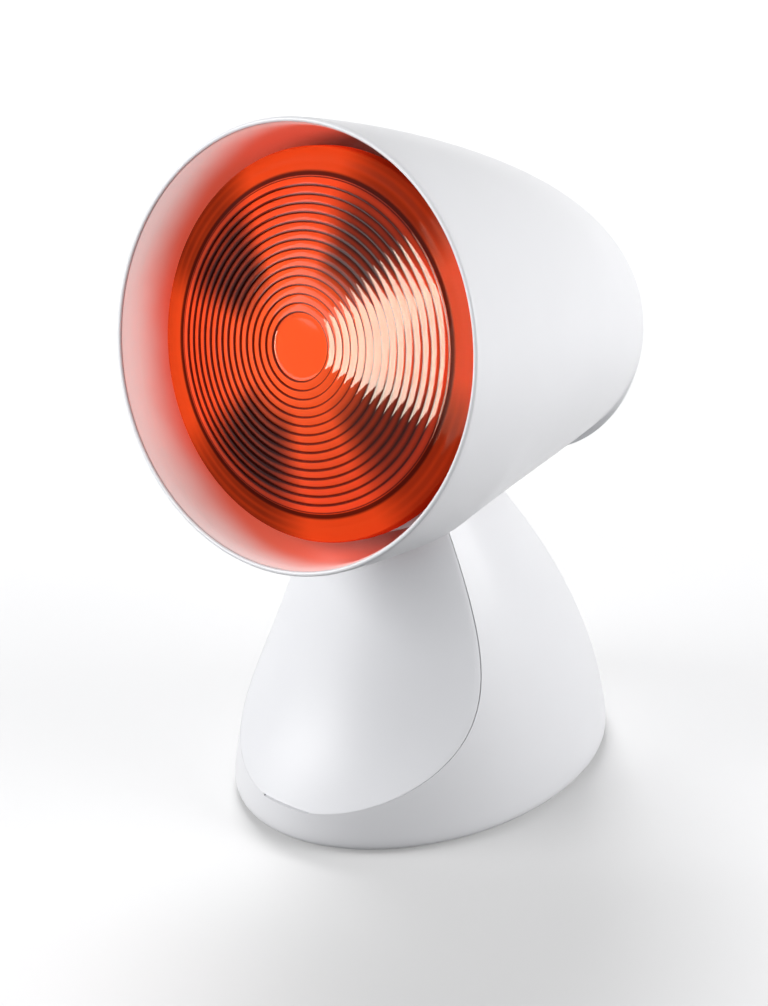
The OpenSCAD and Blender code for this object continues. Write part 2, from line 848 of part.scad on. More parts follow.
module base_shell() {
    color(white)
        difference() {
            union() {
                foot_skin();
                at_switch()
                    translate([0, 0, -foot_wall - 1.5])
                        rounded_block(plinth_w, plinth_h, foot_wall + 1.7, 2.5);
                at_base_screws()
                    translate([0, 0, plate_top])
                        cylinder(r = 4, h = base_boss_h);
            }
            at_switch()
                translate([-switch_w / 2, -switch_h / 2, -20])
                    cube([switch_w, switch_h, 40]);
            at_inlet()
                translate([0, 0, -12])
                    cylinder(r = bushing_r, h = 24);
            at_base_screws()
                cylinder(r = 1.3, h = 16);
            at_fork_screws()
                translate([0, 0, -deck_t - 1])
                    cylinder(r = 1.3, h = deck_t + 2);
            at_spring_screw()
                translate([0, 0, -1])
                    cylinder(r = 1.3, h = deck_t + 0.5);
            translate([-sector_t / 2 - 1, -hinge_y - 10.5, cavity_top - 1])
                cube([sector_t + 2, 21, deck_t + 2]);
            for (x = [-lead_x, lead_x])
                translate([x, lead_y, cavity_top - 1])
                    cylinder(r = 2, h = deck_t + 2);
        }
}

panel_top = neck_top - 1;
panel_heights = [for (h = ring_heights) if (panel_base + h < panel_top - 2) panel_base + h];

// The panel's row of points at a height, on its face or on its back
function panel_row(z, back) =
    let (w = panel_half(z) - panel_gap - (back ? panel_bevel : 0))
    [for (i = [0:front_points])
        let (x = (back ? 1 : -1) * w * (1 - 2 * i / front_points))
        [x, panel_face(x, z) + (back ? panel_t : 0), z]];

module front_panel() {
    heights = concat([panel_base + panel_gap], [for (z = panel_heights) if (z > panel_base + 1) z],
        [panel_top]);
    rings = [for (z = heights) concat(panel_row(z, false), panel_row(z, true))];
    n = 2 * front_points + 2;
    m = len(rings);
    last = (m - 1) * n;
    color(white)
        polyhedron([for (ring = rings) each ring], concat(
            [for (i = [0:m - 2], j = [0:n - 1]) each quad(i * n + j, i * n + (j + 1) % n,
                (i + 1) * n + (j + 1) % n, (i + 1) * n + j)],
            [for (j = [0:front_points - 1]) each quad(j, n - 1 - j, n - 2 - j, j + 1)],
            [for (j = [0:front_points - 1]) each quad(last + j + 1, last + n - 2 - j,
                last + n - 1 - j, last + j)]));
}

// ---- Inside the foot -----------------------------------------------------------------------

plate_t = 2.5;
plate_top = pad_h + plate_t;
base_boss_h = 34;
screw_x = 36;
screw_front = -29;
screw_back = 31;

function oval(a, b) = [for (t = [0:6:354]) [a * sin(t), b * cos(t)]];

module at_base_screws() {
    for (x = [-screw_x, screw_x], y = [screw_front, screw_back])
        translate([x, y, 0])
            children();
}

module base_plate() {
    inset = foot_wall + 0.4 + 0.5;
    color(steel)
        difference() {
            translate([0, 0, pad_h])
                linear_extrude(plate_t)
                    polygon(oval(foot_half_w(0) - inset, foot_half_l(0) - inset));
            at_base_screws()
                translate([0, 0, pad_h - 1])
                    cylinder(r = 1.7, h = plate_t + 2);
            at_ballast_screws()
                translate([0, 0, pad_h - 1])
                    cylinder(r = 2.2, h = plate_t + 2);
        }
}

ballast_t = 10;
ballast_a = 30;
ballast_b = 44;

module at_ballast_screws() {
    for (y = [-30, 30])
        translate([0, y, 0])
            children();
}

module ballast_weight() {
    color(dark)
        difference() {
            translate([0, -4, plate_top])
                linear_extrude(ballast_t)
                    polygon(oval(ballast_a, ballast_b));
            at_ballast_screws()
                cylinder(r = 1.7, h = plate_top + 8);
        }
}

module ballast_screws() {
    color(steel)
        at_ballast_screws()
            translate([0, 0, pad_h])
                rotate([180, 0, 0])
                    screw(3.2, 1.5, 1.65, plate_t + 6);
}

module base_screws() {
    color(steel)
        at_base_screws()
            translate([0, 0, pad_h])
                rotate([180, 0, 0])
                    screw(3, 1.5, 1.25, plate_t + 9);
}

module rubber_feet() {
    color(dark)
        for (x = [-27, 27], side = [-1, 1])
            translate([x, side * (foot_half_l(0) - foot_wall - 21.5), 0])
                cylinder(r1 = 6.2, r2 = 7, h = pad_h);
}

terminal_y = 18;
terminal_w = 26;
terminal_d = 11;
terminal_h = 10;

module terminal_block() {
    color(ceramic)
        difference() {
            translate([-terminal_w / 2, terminal_y - terminal_d / 2, plate_top + ballast_t])
                cube([terminal_w, terminal_d, terminal_h]);
            for (x = [-8, 0, 8])
                translate([x, terminal_y, plate_top + ballast_t + 2.5]) {
                    cylinder(r = 2.2, h = terminal_h);
                    translate([0, -terminal_d, 2])
                        rotate([-90, 0, 0])
                            cylinder(r = 1.8, h = 2 * terminal_d);
                }
        }
}

// ---- Switch ----------------------------------------------------------------------------------

switch_depth = 13;
bezel_face = 0.25 + bezel_t; // height of the bezel's face above the foot's wall
rocker_w = switch_w - 3.6;
rocker_r = switch_h / 2 - 2; // the rocker's ends lie on this radius round its axle
rocker_pivot = 3.2; // depth of the rocker's axle below the bezel's face
rocker_tilt = 6; // tilt of the rocker to either side
axle_r = 1.2;

module switch_body() {
    color(dark)
        at_switch()
            difference() {
                union() {
                    translate([0, 0, 0.25])
                        rounded_block(bezel_w, bezel_h, bezel_t, 1.5);
                    translate([-switch_w / 2 + 0.2, -switch_h / 2 + 0.2, -switch_depth])
                        cube([switch_w - 0.4, switch_h - 0.4, switch_depth + 0.5]);
                }
                translate([-rocker_w / 2 - 0.3, -rocker_r - 0.3, bezel_face - rocker_pivot - 3])
                    cube([rocker_w + 0.6, 2 * rocker_r + 0.6, 20]);
                translate([0, 0, bezel_face - rocker_pivot])
                    along_x(-rocker_w / 2 - 3, axle_r + 0.05, rocker_w + 6);
            }
}

// Rocker: a key with a hollow face on an axle across the switch
module switch_rocker() {
    ends = [-11, 0, 12, 24, 36]; // angles of the points on each rounded end
    color([0.1, 0.1, 0.11])
        at_switch()
            translate([0, 0, bezel_face - rocker_pivot])
                rotate([rocker_tilt, 0, 0]) {
                    across(rocker_w)
                        polygon(concat([for (a = ends) rocker_r * [cos(a), sin(a)]],
                            [for (y = [4:-2:-4]) [y, rocker_pivot + 0.6 + y * y * 0.03]],
                            [for (i = [4:-1:0]) rocker_r * [-cos(ends[i]), sin(ends[i])]]));
                    along_x(-rocker_w / 2 - 1.2, axle_r, rocker_w + 2.4);
                }
}

module switch_terminals() {
    color(brass)
        at_switch()
            for (x = [-3, 3])
                translate([x - 0.4, -2.4, -switch_depth - terminal_l])
                    cube([0.8, 4.8, terminal_l]);
}

terminal_l = 7;

// ---- Cord inlet and leads -----------------------------------------------------------------------

bushing_r = 5;
bushing_flange = 6.8;

module cord_bushing() {
    color(dark)
        at_inlet()
            difference() {
                union() {
                    translate([0, 0, -foot_wall - 3])
                        cylinder(r = bushing_r - 0.1, h = foot_wall + 3.5);
                    translate([0, 0, 0.2])
                        cylinder(r1 = bushing_flange, r2 = bushing_flange - 1.2, h = 2.2);
                    translate([0, 0, -foot_wall - 3.2])
                        cylinder(r = bushing_r + 1, h = 2);
                }
                translate([0, 0, -foot_wall - 5])
                    cylinder(r = inlet_r, h = foot_wall + 10);
            }
}

lead_r = 1.1;
lead_x = 19;
lead_y = -15.5;
block_z = plate_top + ballast_t + 4.5;

// A point of the switch's frame, in the foot's frame
function from_switch(x, y, z) = [x, foot_back(switch_z) + z * cos(switch_lean) + y * sin(switch_lean),
    switch_z + z * sin(switch_lean) - y * cos(switch_lean)];

module base_leads() {
    color(dark)
        for (side = [-1, 1])
            lead([[8 * side, terminal_y + 3, block_z], [8 * side, terminal_y + 8, block_z],
                [7 * side, terminal_y + 15, block_z + 3],
                from_switch(4 * side, 1, -switch_depth - terminal_l - 6),
                from_switch(3 * side, 0, -switch_depth - terminal_l - 0.1)], lead_r);
}

module neck_leads() {
    color(dark)
        for (side = [-1, 1])
            lead([[8 * side, terminal_y - 3, block_z], [8 * side, terminal_y - 8, block_z + 0.5],
                [12 * side, 4, block_z + 10], [16 * side, -5, 50], [lead_x * side, -11, 70],
                [lead_x * side, lead_y, 88], [lead_x * side, lead_y, deck_z + 3],
                [lead_x * side, lead_y, deck_z + 6]], lead_r);
}

module holder_leads() {
    color(dark)
        in_head()
            for (side = [-1, 1])
                lead([[5 * side, -4, -holder_back - 0.4], [5.2 * side, -5, -holder_back - 2.6],
                    [8 * side, -11, -holder_back - 2.6],
                    [13.5 * side, -18, -holder_back + 1], [16 * side, -23, -holder_back + 10],
                    [17 * side, -27, -112], [18 * side, -35, -94], [19.5 * side, -41, -80],
                    [19.5 * side, -45, -68]], lead_r);
}

// ---- All pieces ----------------------------------------------------------------------------------

head_shell();
bulb_lens();
bulb_reflector();
bulb_cap();
bulb_cap_insulator();
bulb_contact();
bulb_filament();
filament_leads();
lamp_holder();
holder_thread();
holder_contact();
holder_screws();
heat_shield();
lamp_cradle();
shell_screws();
pivot_bushes();
pivot_washers();
click_sector();
hinge_pin();
pin_clip();
hinge_fork();
fork_screws();
click_spring();
spring_screw();
base_shell();
front_panel();
base_plate();
ballast_weight();
ballast_screws();
base_screws();
rubber_feet();
switch_body();
switch_terminals();
switch_rocker();
cord_bushing();
terminal_block();
base_leads();
neck_leads();
holder_leads();
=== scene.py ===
import json
import math

import bmesh
import bpy
import numpy as np
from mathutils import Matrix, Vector

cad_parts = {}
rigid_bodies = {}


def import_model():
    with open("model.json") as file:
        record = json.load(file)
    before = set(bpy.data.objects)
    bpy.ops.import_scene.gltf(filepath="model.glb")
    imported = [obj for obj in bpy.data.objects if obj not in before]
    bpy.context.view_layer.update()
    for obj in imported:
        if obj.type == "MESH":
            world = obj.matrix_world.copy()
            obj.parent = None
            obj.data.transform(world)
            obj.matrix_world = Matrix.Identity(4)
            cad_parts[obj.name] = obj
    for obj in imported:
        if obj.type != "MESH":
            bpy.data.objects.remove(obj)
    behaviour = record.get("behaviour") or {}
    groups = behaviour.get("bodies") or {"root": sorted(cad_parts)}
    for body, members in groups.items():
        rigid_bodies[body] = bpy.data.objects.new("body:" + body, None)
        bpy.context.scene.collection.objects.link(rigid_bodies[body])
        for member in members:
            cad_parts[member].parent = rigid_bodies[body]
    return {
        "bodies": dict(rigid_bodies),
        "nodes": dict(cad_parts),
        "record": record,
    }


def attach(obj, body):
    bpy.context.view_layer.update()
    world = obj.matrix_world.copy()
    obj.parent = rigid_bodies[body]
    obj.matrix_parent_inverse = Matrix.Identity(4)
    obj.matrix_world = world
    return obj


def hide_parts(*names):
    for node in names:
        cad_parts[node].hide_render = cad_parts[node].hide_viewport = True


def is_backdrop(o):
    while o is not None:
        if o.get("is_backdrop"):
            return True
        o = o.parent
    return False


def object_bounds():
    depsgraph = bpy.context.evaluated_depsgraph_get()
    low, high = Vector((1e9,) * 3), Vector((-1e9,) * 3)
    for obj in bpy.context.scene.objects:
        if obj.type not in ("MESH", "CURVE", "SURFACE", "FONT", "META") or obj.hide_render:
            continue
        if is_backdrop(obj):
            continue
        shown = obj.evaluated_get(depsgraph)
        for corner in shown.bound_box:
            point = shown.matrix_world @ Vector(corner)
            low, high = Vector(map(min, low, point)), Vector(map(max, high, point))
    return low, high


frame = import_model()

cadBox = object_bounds()
nodes = frame["nodes"]
print("frame loaded:", len(nodes), "nodes on", len(frame["bodies"]), "bodies")

mm = 0.001


# Meshes from numpy

def ease(t):  # smooth step: 3t^2 - 2t^3 between 0 and 1
    t = np.clip(t, 0.0, 1.0)
    return t * t * (3 - 2 * t)


def roundTurn(sides):  # equal angles once round, in radians
    return np.arange(sides) * 2 * math.pi / sides


def asDrawn(x, y, z):  # points that are in the world's frame already
    return np.stack([x, y, z], -1)


def gridQuads(rows, columns, first=0):  # quads between the neighbouring rows of a grid that closes round
    i = np.arange(rows - 1)[:, None]
    j = np.arange(columns)[None, :]
    a = first + i * columns + j
    b = first + i * columns + (j + 1) % columns
    return np.stack([a, b, b + columns, a + columns], -1).reshape(-1, 4)


def meshPiece(name, points, quads, tris=np.zeros((0, 3), int), outward=True):  # points in mm
    corners = np.concatenate([quads.ravel(), tris.ravel()]).astype(np.int32)
    starts = np.concatenate([np.arange(len(quads)) * 4, len(quads) * 4 + np.arange(len(tris)) * 3])
    mesh = bpy.data.meshes.new(name)
    mesh.vertices.add(len(points))
    mesh.vertices.foreach_set("co", (points * mm).astype(np.float32).ravel())
    mesh.loops.add(len(corners))
    mesh.loops.foreach_set("vertex_index", corners)
    mesh.polygons.add(len(starts))
    mesh.polygons.foreach_set("loop_start", starts.astype(np.int32))
    mesh.update(calc_edges=True)
    piece = bpy.data.objects.new(name, mesh)
    bpy.context.scene.collection.objects.link(piece)
    if outward:
        turnOutward(mesh)
    return piece


def turnOutward(mesh):
    work = bmesh.new()
    work.from_mesh(mesh)
    bmesh.ops.recalc_face_normals(work, faces=work.faces)
    work.to_mesh(mesh)
    work.free()


def closedSkin(name, rings, firstPole, lastPole):  # rings of equal length, closed by a point at each end
    rows, columns = rings.shape[:2]
    points = np.concatenate([[firstPole], rings.reshape(-1, 3), [lastPole]])
    j = np.arange(columns)
    k = (j + 1) % columns
    last = 1 + (rows - 1) * columns
    tris = np.concatenate([
        np.stack([0 * j, 1 + k, 1 + j], -1),
        np.stack([0 * j + len(points) - 1, last + j, last + k], -1)])
    return meshPiece(name, points, gridQuads(rows, columns, 1), tris)


def turned(name, profile, toWorld, sides):  # (radius, height) carried once round an axis; poles at both ends
    angle = roundTurn(sides)
    radius, height = profile[1:-1, 0, None], profile[1:-1, 1, None]
    rings = toWorld(radius * np.sin(angle), radius * np.cos(angle), height + 0 * angle)
    ends = toWorld(np.zeros(2), np.zeros(2), profile[[0, -1], 1])
    return closedSkin(name, rings, ends[0], ends[1])


def prism(name, outline, low, high, toWorld):  # an outline of (x, y) between two heights
    x, y = outline[:, 0], outline[:, 1]
    rings = np.stack([toWorld(x, y, 0 * x + low), toWorld(x, y, 0 * x + high)])
    centre = outline.mean(0)
    ends = toWorld(np.full(2, centre[0]), np.full(2, centre[1]), np.array([low, high], float))
    return closedSkin(name, rings, ends[0], ends[1])


def ringLoops(name, loops):  # closed loops of equal length joined one to the next and back to the first
    count, columns = len(loops), len(loops[0])
    return meshPiece(name, np.concatenate(loops), gridQuads(count + 1, columns) % (count * columns))


def roundedRect(w, h, r, steps=7):
    corners = [(1, 1, 0), (-1, 1, 90), (-1, -1, 180), (1, -1, 270)]
    turn = np.radians(np.linspace(0, 90, steps))
    return np.concatenate([np.stack([cx * (w / 2 - r) + r * np.cos(turn + math.radians(a)),
                                     cy * (h / 2 - r) + r * np.sin(turn + math.radians(a))], -1)
                           for cx, cy, a in corners])


def joined(piece, others):
    work = bmesh.new()
    for part in [piece] + others:
        work.from_mesh(part.data)
    work.to_mesh(piece.data)
    work.free()
    for part in others:
        bpy.data.objects.remove(part)
    return piece


def bake(piece):  # the piece's modifiers become its mesh
    mesh = bpy.data.meshes.new_from_object(piece.evaluated_get(bpy.context.evaluated_depsgraph_get()))
    piece.modifiers.clear()
    piece.data = mesh
    return piece


def cutOut(piece, tools):
    for tool in tools:
        step = piece.modifiers.new("cut", "BOOLEAN")
        step.operation, step.solver, step.object = "DIFFERENCE", "EXACT", tool
    bake(piece)
    for tool in tools:
        bpy.data.objects.remove(tool)
    return piece


def smooth(piece, degrees):
    mesh = piece.data
    mesh.polygons.foreach_set("use_smooth", np.ones(len(mesh.polygons), bool))
    mesh.set_sharp_from_angle(angle=math.radians(degrees))


def place(piece, body, stands, degrees):
    smooth(piece, degrees)
    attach(piece, body)
    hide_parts(*stands)
    print("piece", piece.name, len(piece.data.polygons), "faces")
    return piece


# Materials

class Val:  # a socket that takes part in sums
    def __init__(self, bench, socket):
        self.bench, self.socket = bench, socket

    def math(self, operation, other=None):
        inputs = {0: self} if other is None else {0: self, 1: other}
        return self.bench.add("ShaderNodeMath", {"operation": operation}, inputs)[0]

    def after(self, operation, first):  # the reflected form, with the other value first
        return self.bench.add("ShaderNodeMath", {"operation": operation}, {0: first, 1: self})[0]

    def __add__(self, other): return self.math("ADD", other)
    def __radd__(self, other): return self.math("ADD", other)
    def __sub__(self, other): return self.math("SUBTRACT", other)
    def __rsub__(self, other): return self.after("SUBTRACT", other)
    def __mul__(self, other): return self.math("MULTIPLY", other)
    def __rmul__(self, other): return self.math("MULTIPLY", other)
    def __truediv__(self, other): return self.math("DIVIDE", other)
    def __rtruediv__(self, other): return self.after("DIVIDE", other)
    def __neg__(self): return self.math("MULTIPLY", -1.0)
    def __abs__(self): return self.math("ABSOLUTE")


class Outputs:  # a node's outputs, each taken as a value
    def __init__(self, bench, node):
        self.bench, self.node = bench, node

    def __getitem__(self, key):
        return Val(self.bench, self.node.outputs[key])


class Bench:  # the node tree of one material, or of the world
    def __init__(self, name, kind=None):
        self.material = (bpy.data.materials if kind is None else kind).new(name)
        self.material.use_nodes = True
        self.tree = self.material.node_tree
        self.tree.nodes.clear()

    def add(self, kind, settings=None, inputs=None):
        node = self.tree.nodes.new(kind)
        for key, value in (settings or {}).items():
            setattr(node, key, value)
        for key, value in (inputs or {}).items():
            socket = node.inputs[key]
            if isinstance(value, Val):
                self.tree.links.new(value.socket, socket)
            else:
                socket.default_value = (*value, 1.0) if socket.type == "RGBA" else value
        return Outputs(self, node)

    def objectPoint(self):
        return self.add("ShaderNodeTexCoord")["Object"]

    def mapped(self, vector, location=(0, 0, 0), rotation=(0, 0, 0), scale=(1, 1, 1), kind="POINT"):
        given = {"Vector": vector, "Location": location, "Rotation": rotation, "Scale": scale}
        return self.add("ShaderNodeMapping", {"vector_type": kind}, given)["Vector"]

    def parts(self, vector):
        split = self.add("ShaderNodeSeparateXYZ", None, {0: vector})
        return split["X"], split["Y"], split["Z"]

    def noise(self, vector, scale, detail=3.0):
        return self.add("ShaderNodeTexNoise", None,
                        {"Vector": vector, "Scale": scale, "Detail": detail, "Roughness": 0.5})[0]

    def ramp(self, value, low, high, start=0.0, end=1.0):  # smooth step of a value from low to high
        span = {"Value": value, "From Min": low, "From Max": high, "To Min": start, "To Max": end}
        return self.add("ShaderNodeMapRange", {"interpolation_type": "SMOOTHSTEP"}, span)[0]

    def mix(self, factor, first, second):  # the Mix node's colours are its inputs 6 and 7 and its output 2
        return self.add("ShaderNodeMix", {"data_type": "RGBA"}, {0: factor, 6: first, 7: second})[2]

    def bump(self, height, strength):
        return self.add("ShaderNodeBump", None,
                        {"Height": height, "Strength": strength, "Distance": bumpReach})["Normal"]

    def shade(self, inputs):
        shader = self.add("ShaderNodeBsdfPrincipled", None, inputs)
        self.add("ShaderNodeOutputMaterial", None, {"Surface": shader["BSDF"]})
        return self.material


bumpReach = 0.0002  # how far a full bump stands out, in metres


def tint(colour, share):
    return tuple(min(1.0, c * share) for c in colour)


mouldLook = {"mottleFrom": 0.3, "mottleTo": 0.7, "fineGloss": 0.02, "ior": 1.5,  # common to all moulded pieces
             "grainDetail": 2.0, "coat": 0.0, "coatRoughness": 0.08}


def plasticFinish(name, look):  # moulded plastic: faint mottling, soft orange peel and uneven gloss
    k = mouldLook
    bench = Bench(name)
    point = bench.objectPoint()
    cloud = bench.noise(point, look["cloudScale"])
    fine = bench.noise(point, look["grainScale"], k["grainDetail"])
    mottle = bench.ramp(cloud, k["mottleFrom"], k["mottleTo"])
    return bench.shade({
        "Base Color": bench.mix(mottle, look["colour"], tint(look["colour"], look["mottle"])),
        "Roughness": look["roughness"] + (cloud - 0.5) * look["glossSpread"] + (fine - 0.5) * k["fineGloss"],
        "IOR": k["ior"], "Coat Weight": look.get("coat", k["coat"]),
        "Coat Roughness": look.get("coatRoughness", k["coatRoughness"]),
        "Normal": bench.bump(fine, look["grain"])})


wornLook = {"patchScale": 45.0, "patchFrom": 0.35, "patchTo": 0.7,  # common to all metal pieces
            "grainGloss": 0.18, "patchGloss": 0.12}


def metalFinish(name, look):  # metal with brushed or cast grain and a few duller patches
    k = wornLook
    bench = Bench(name)
    point = bench.objectPoint()
    stretch = bench.mapped(point, scale=look.get("stretch", (1, 1, 1)))
    grain = bench.noise(stretch, look["grainScale"], 4.0)
    patch = bench.noise(point, k["patchScale"])
    dull = bench.ramp(patch, k["patchFrom"], k["patchTo"])
    return bench.shade({
        "Base Color": bench.mix(dull, look["colour"], tint(look["colour"], look["dull"])),
        "Metallic": look.get("metallic", 1.0),
        "Roughness": look["roughness"] + (grain - 0.5) * k["grainGloss"] + (patch - 0.5) * k["patchGloss"],
        "Normal": bench.bump(grain, look["grain"])})


whiteLook = {"colour": (0.85, 0.852, 0.875), "mottle": 0.985, "cloudScale": 28.0, "grainScale": 900.0,
             "grain": 0.02, "roughness": 0.33, "glossSpread": 0.04, "coat": 0.12, "coatRoughness": 0.12}
panelLook = {"colour": (0.84, 0.845, 0.87), "mottle": 0.985, "cloudScale": 30.0, "grainScale": 1100.0,
             "grain": 0.03, "roughness": 0.42, "glossSpread": 0.05}
blackLook = {"colour": (0.035, 0.035, 0.038), "mottle": 1.5, "cloudScale": 60.0, "grainScale": 2200.0,
             "grain": 0.25, "roughness": 0.45, "glossSpread": 0.15}
rubberLook = {"colour": (0.028, 0.028, 0.03), "mottle": 1.8, "cloudScale": 90.0, "grainScale": 1600.0,
              "grain": 0.5, "roughness": 0.75, "glossSpread": 0.15}
ceramicLook = {"colour": (0.83, 0.81, 0.75), "mottle": 0.93, "cloudScale": 50.0, "grainScale": 700.0,
               "grain": 0.08, "roughness": 0.3, "glossSpread": 0.1, "coat": 0.6}
steelLook = {"colour": (0.62, 0.63, 0.65), "dull": 0.8, "roughness": 0.34,
             "grainScale": 300.0, "stretch": (1, 1, 8), "grain": 0.15}
brassLook = {"colour": (0.76, 0.57, 0.25), "dull": 0.75, "roughness": 0.32,
             "grainScale": 260.0, "grain": 0.12}
aluminiumLook = {"colour": (0.76, 0.77, 0.79), "dull": 0.85, "roughness": 0.3,
                 "grainScale": 350.0, "stretch": (1, 6, 1), "grain": 0.15}
ironLook = {"colour": (0.10, 0.10, 0.105), "dull": 1.6, "roughness": 0.68,
            "grainScale": 420.0, "grain": 0.7, "metallic": 0.7}

finishes = {
    "white_plastic": plasticFinish("whiteGloss", whiteLook),
    "panel_plastic": plasticFinish("panelGloss", panelLook),
    "black_plastic": plasticFinish("blackSatin", blackLook),
    "rubber": plasticFinish("softRubber", rubberLook),
    "ceramic": plasticFinish("glazedCeramic", ceramicLook),
    "steel": metalFinish("platedSteel", steelLook),
    "brass": metalFinish("rolledBrass", brassLook),
    "aluminium": metalFinish("spunAluminium", aluminiumLook),
    "iron": metalFinish("castIron", ironLook)}

headLook = {"tilt": 16.0, "hingeY": -4.1, "hingeZ": 106.9, "hingeDrop": 45.5, "hingeBack": 77.0}


def headPoint(x, v, depth):  # (across, up, depth behind the rim) in mm, turned by 90 - tilt about the hinge
    turn = math.radians(90 - headLook["tilt"])
    y, z = v + headLook["hingeDrop"], headLook["hingeBack"] - depth
    return np.stack(np.broadcast_arrays(
        x, y * math.cos(turn) - z * math.sin(turn) + headLook["hingeY"],
        y * math.sin(turn) + z * math.cos(turn) + headLook["hingeZ"]), -1)


rimCentre = headPoint(0.0, 0.0, 0.0) * mm


def headLocal(bench):  # object coordinates in the shade's own frame: across, up and out of the rim, in metres
    return bench.parts(bench.mapped(bench.objectPoint(), tuple(rimCentre),
                                    (math.radians(90 - headLook["tilt"]), 0, 0), kind="TEXTURE"))


insideLook = {  # distances in metres
    # the colours at the rim, further in and far in, and their emission colours, are the bulb's red light
    # painted on the plastic; far in it is painted shade beside the bulb; rear is the plain plastic with hardly
    # any painted emission
    "rim": (0.84, 0.77, 0.78), "rimGlow": (0.42, 0.35, 0.34),
    "deep": (0.82, 0.22, 0.15), "deepGlow": (0.40, 0.06, 0.035),
    "far": (0.40, 0.03, 0.015), "farGlow": (0.12, 0.005, 0.002),
    "rear": (0.80, 0.76, 0.76), "rearGlow": (0.012, 0.002, 0.001),
    "deepFrom": -0.006, "deepTo": 0.016, "leanX": 0.12, "leanY": 0.045, "wander": 0.012,
    "farFrom": 0.004, "farTo": 0.016, "farLean": 0.2, "farSide": 0.030, "rearFrom": 0.022, "rearTo": 0.048,
    "cloudScale": 22.0, "roughness": 0.36, "glossSpread": 0.1, "grainScale": 900.0, "grain": 0.04}


def paintedLightInside():  # the same plastic with the bulb's red light painted on, as colour and emission that grow redder back from the rim, and painted shade darkest beside the bulb on the right
    k = insideLook
    bench = Bench("shadeInside")
    x, y, z = headLocal(bench)
    cloud = bench.noise(bench.objectPoint(), k["cloudScale"])
    depth = x * k["leanX"] + y * k["leanY"] - z + (cloud - 0.5) * k["wander"]
    # painted red light, stronger back from the rim
    deep = bench.ramp(depth, k["deepFrom"], k["deepTo"])
    # painted shade: a darker red far in on the right, beside the bulb
    far = bench.ramp(-z, k["farFrom"], k["farTo"]) * bench.ramp(x + y * k["farLean"], 0.0, k["farSide"])
    rear = bench.ramp(-z, k["rearFrom"], k["rearTo"])  # the painted light ends at the rear, where the bulb's mirror keeps the light off
    colour = bench.mix(far, bench.mix(deep, k["rim"], k["deep"]), k["far"])
    # painted emission to match the painted light; the plastic is no lamp
    paintedGlow = bench.mix(far, bench.mix(deep, k["rimGlow"], k["deepGlow"]), k["farGlow"])
    fine = bench.noise(bench.objectPoint(), k["grainScale"], mouldLook["grainDetail"])
    return bench.shade({
        "Base Color": bench.mix(rear, colour, k["rear"]),
        "Roughness": k["roughness"] + (cloud - 0.5) * k["glossSpread"],
        "Emission Color": bench.mix(rear, paintedGlow, k["rearGlow"]), "Emission Strength": 1.0,
        "Normal": bench.bump(fine, k["grain"])})


lensLook = {"discR": 10.45, "ringR": 51.6, "rings": 15}  # in mm; the shape and the finish both use them

glassLook = {  # distances in metres
    "colour": (0.86, 0.062, 0.010), "bright": (0.98, 0.095, 0.015), "brightFrom": 0.012, "brightTo": 0.050,
    "edge": (0.66, 0.055, 0.010), "edgeSoft": 0.0015,
    # the line colour is painted shade: a dark line at each ring's foot and a dark band just outside the last
    # ring
    "line": (0.030, 0.003, 0.002), "lineAt": 0.42, "lineFrom": 0.66, "lineTo": 0.93, "lineMost": 0.88,
    "widen": 0.10, "widenTo": 0.040, "fadeIn": 0.0003, "fadeOut": 0.0004,
    "grooveIn": (0.0001, 0.0006), "grooveOut": (0.0014, 0.0024), "grooveMost": 0.9,
    # the dark colour is painted dark reflection, in four wedges
    "dark": (0.018, 0.003, 0.002), "darkMost": 0.98,
    "wedges": ((155.0, 17.0, 1.0), (250.0, 20.0, 1.0), (66.0, 18.0, 0.9), (336.0, 19.0, 0.92)),
    "wedgeSoft": 1.6, "wedgeCore": 0.45, "wedgeFrom": 0.016, "wedgeFull": 0.030,
    "wedgeFade": 0.3, "wedgeFadeFrom": 0.044, "wedgeFadeTo": 0.052, "streak": 0.20, "farSide": (0.5, 0.1),
    "cloudScale": 34.0, "cloudLeast": 0.8, "cloudSpread": 0.4,
    "roughness": 0.36, "glossSpread": 0.06, "glowing": 0.15,
    "coatLoss": 0.94, "coatFrom": 0.0004, "coatTo": 0.0006, "coatRoughness": 0.05, "coatIor": 1.2}


def paintedDarkReflection(bench, x, y, radius):  # painted dark reflection: four soft wedges, each (middle angle, half width, share) in degrees
    k = glassLook
    sector = None
    for middle, half, share in k["wedges"]:
        a = math.radians(middle)
        along = (x * math.cos(a) + y * math.sin(a)) / (radius + 0.0001)  # cosine of the angle to its middle
        mask = bench.ramp(along, math.cos(math.radians(half * k["wedgeSoft"])),
                          math.cos(math.radians(half * k["wedgeCore"])), 0.0, share)
        sector = mask if sector is None else sector.math("MAXIMUM", mask)
    fade = 1 - k["wedgeFade"] * bench.ramp(radius, k["wedgeFadeFrom"], k["wedgeFadeTo"])
    return sector * (bench.ramp(radius, k["wedgeFrom"], k["wedgeFull"]) * fade)


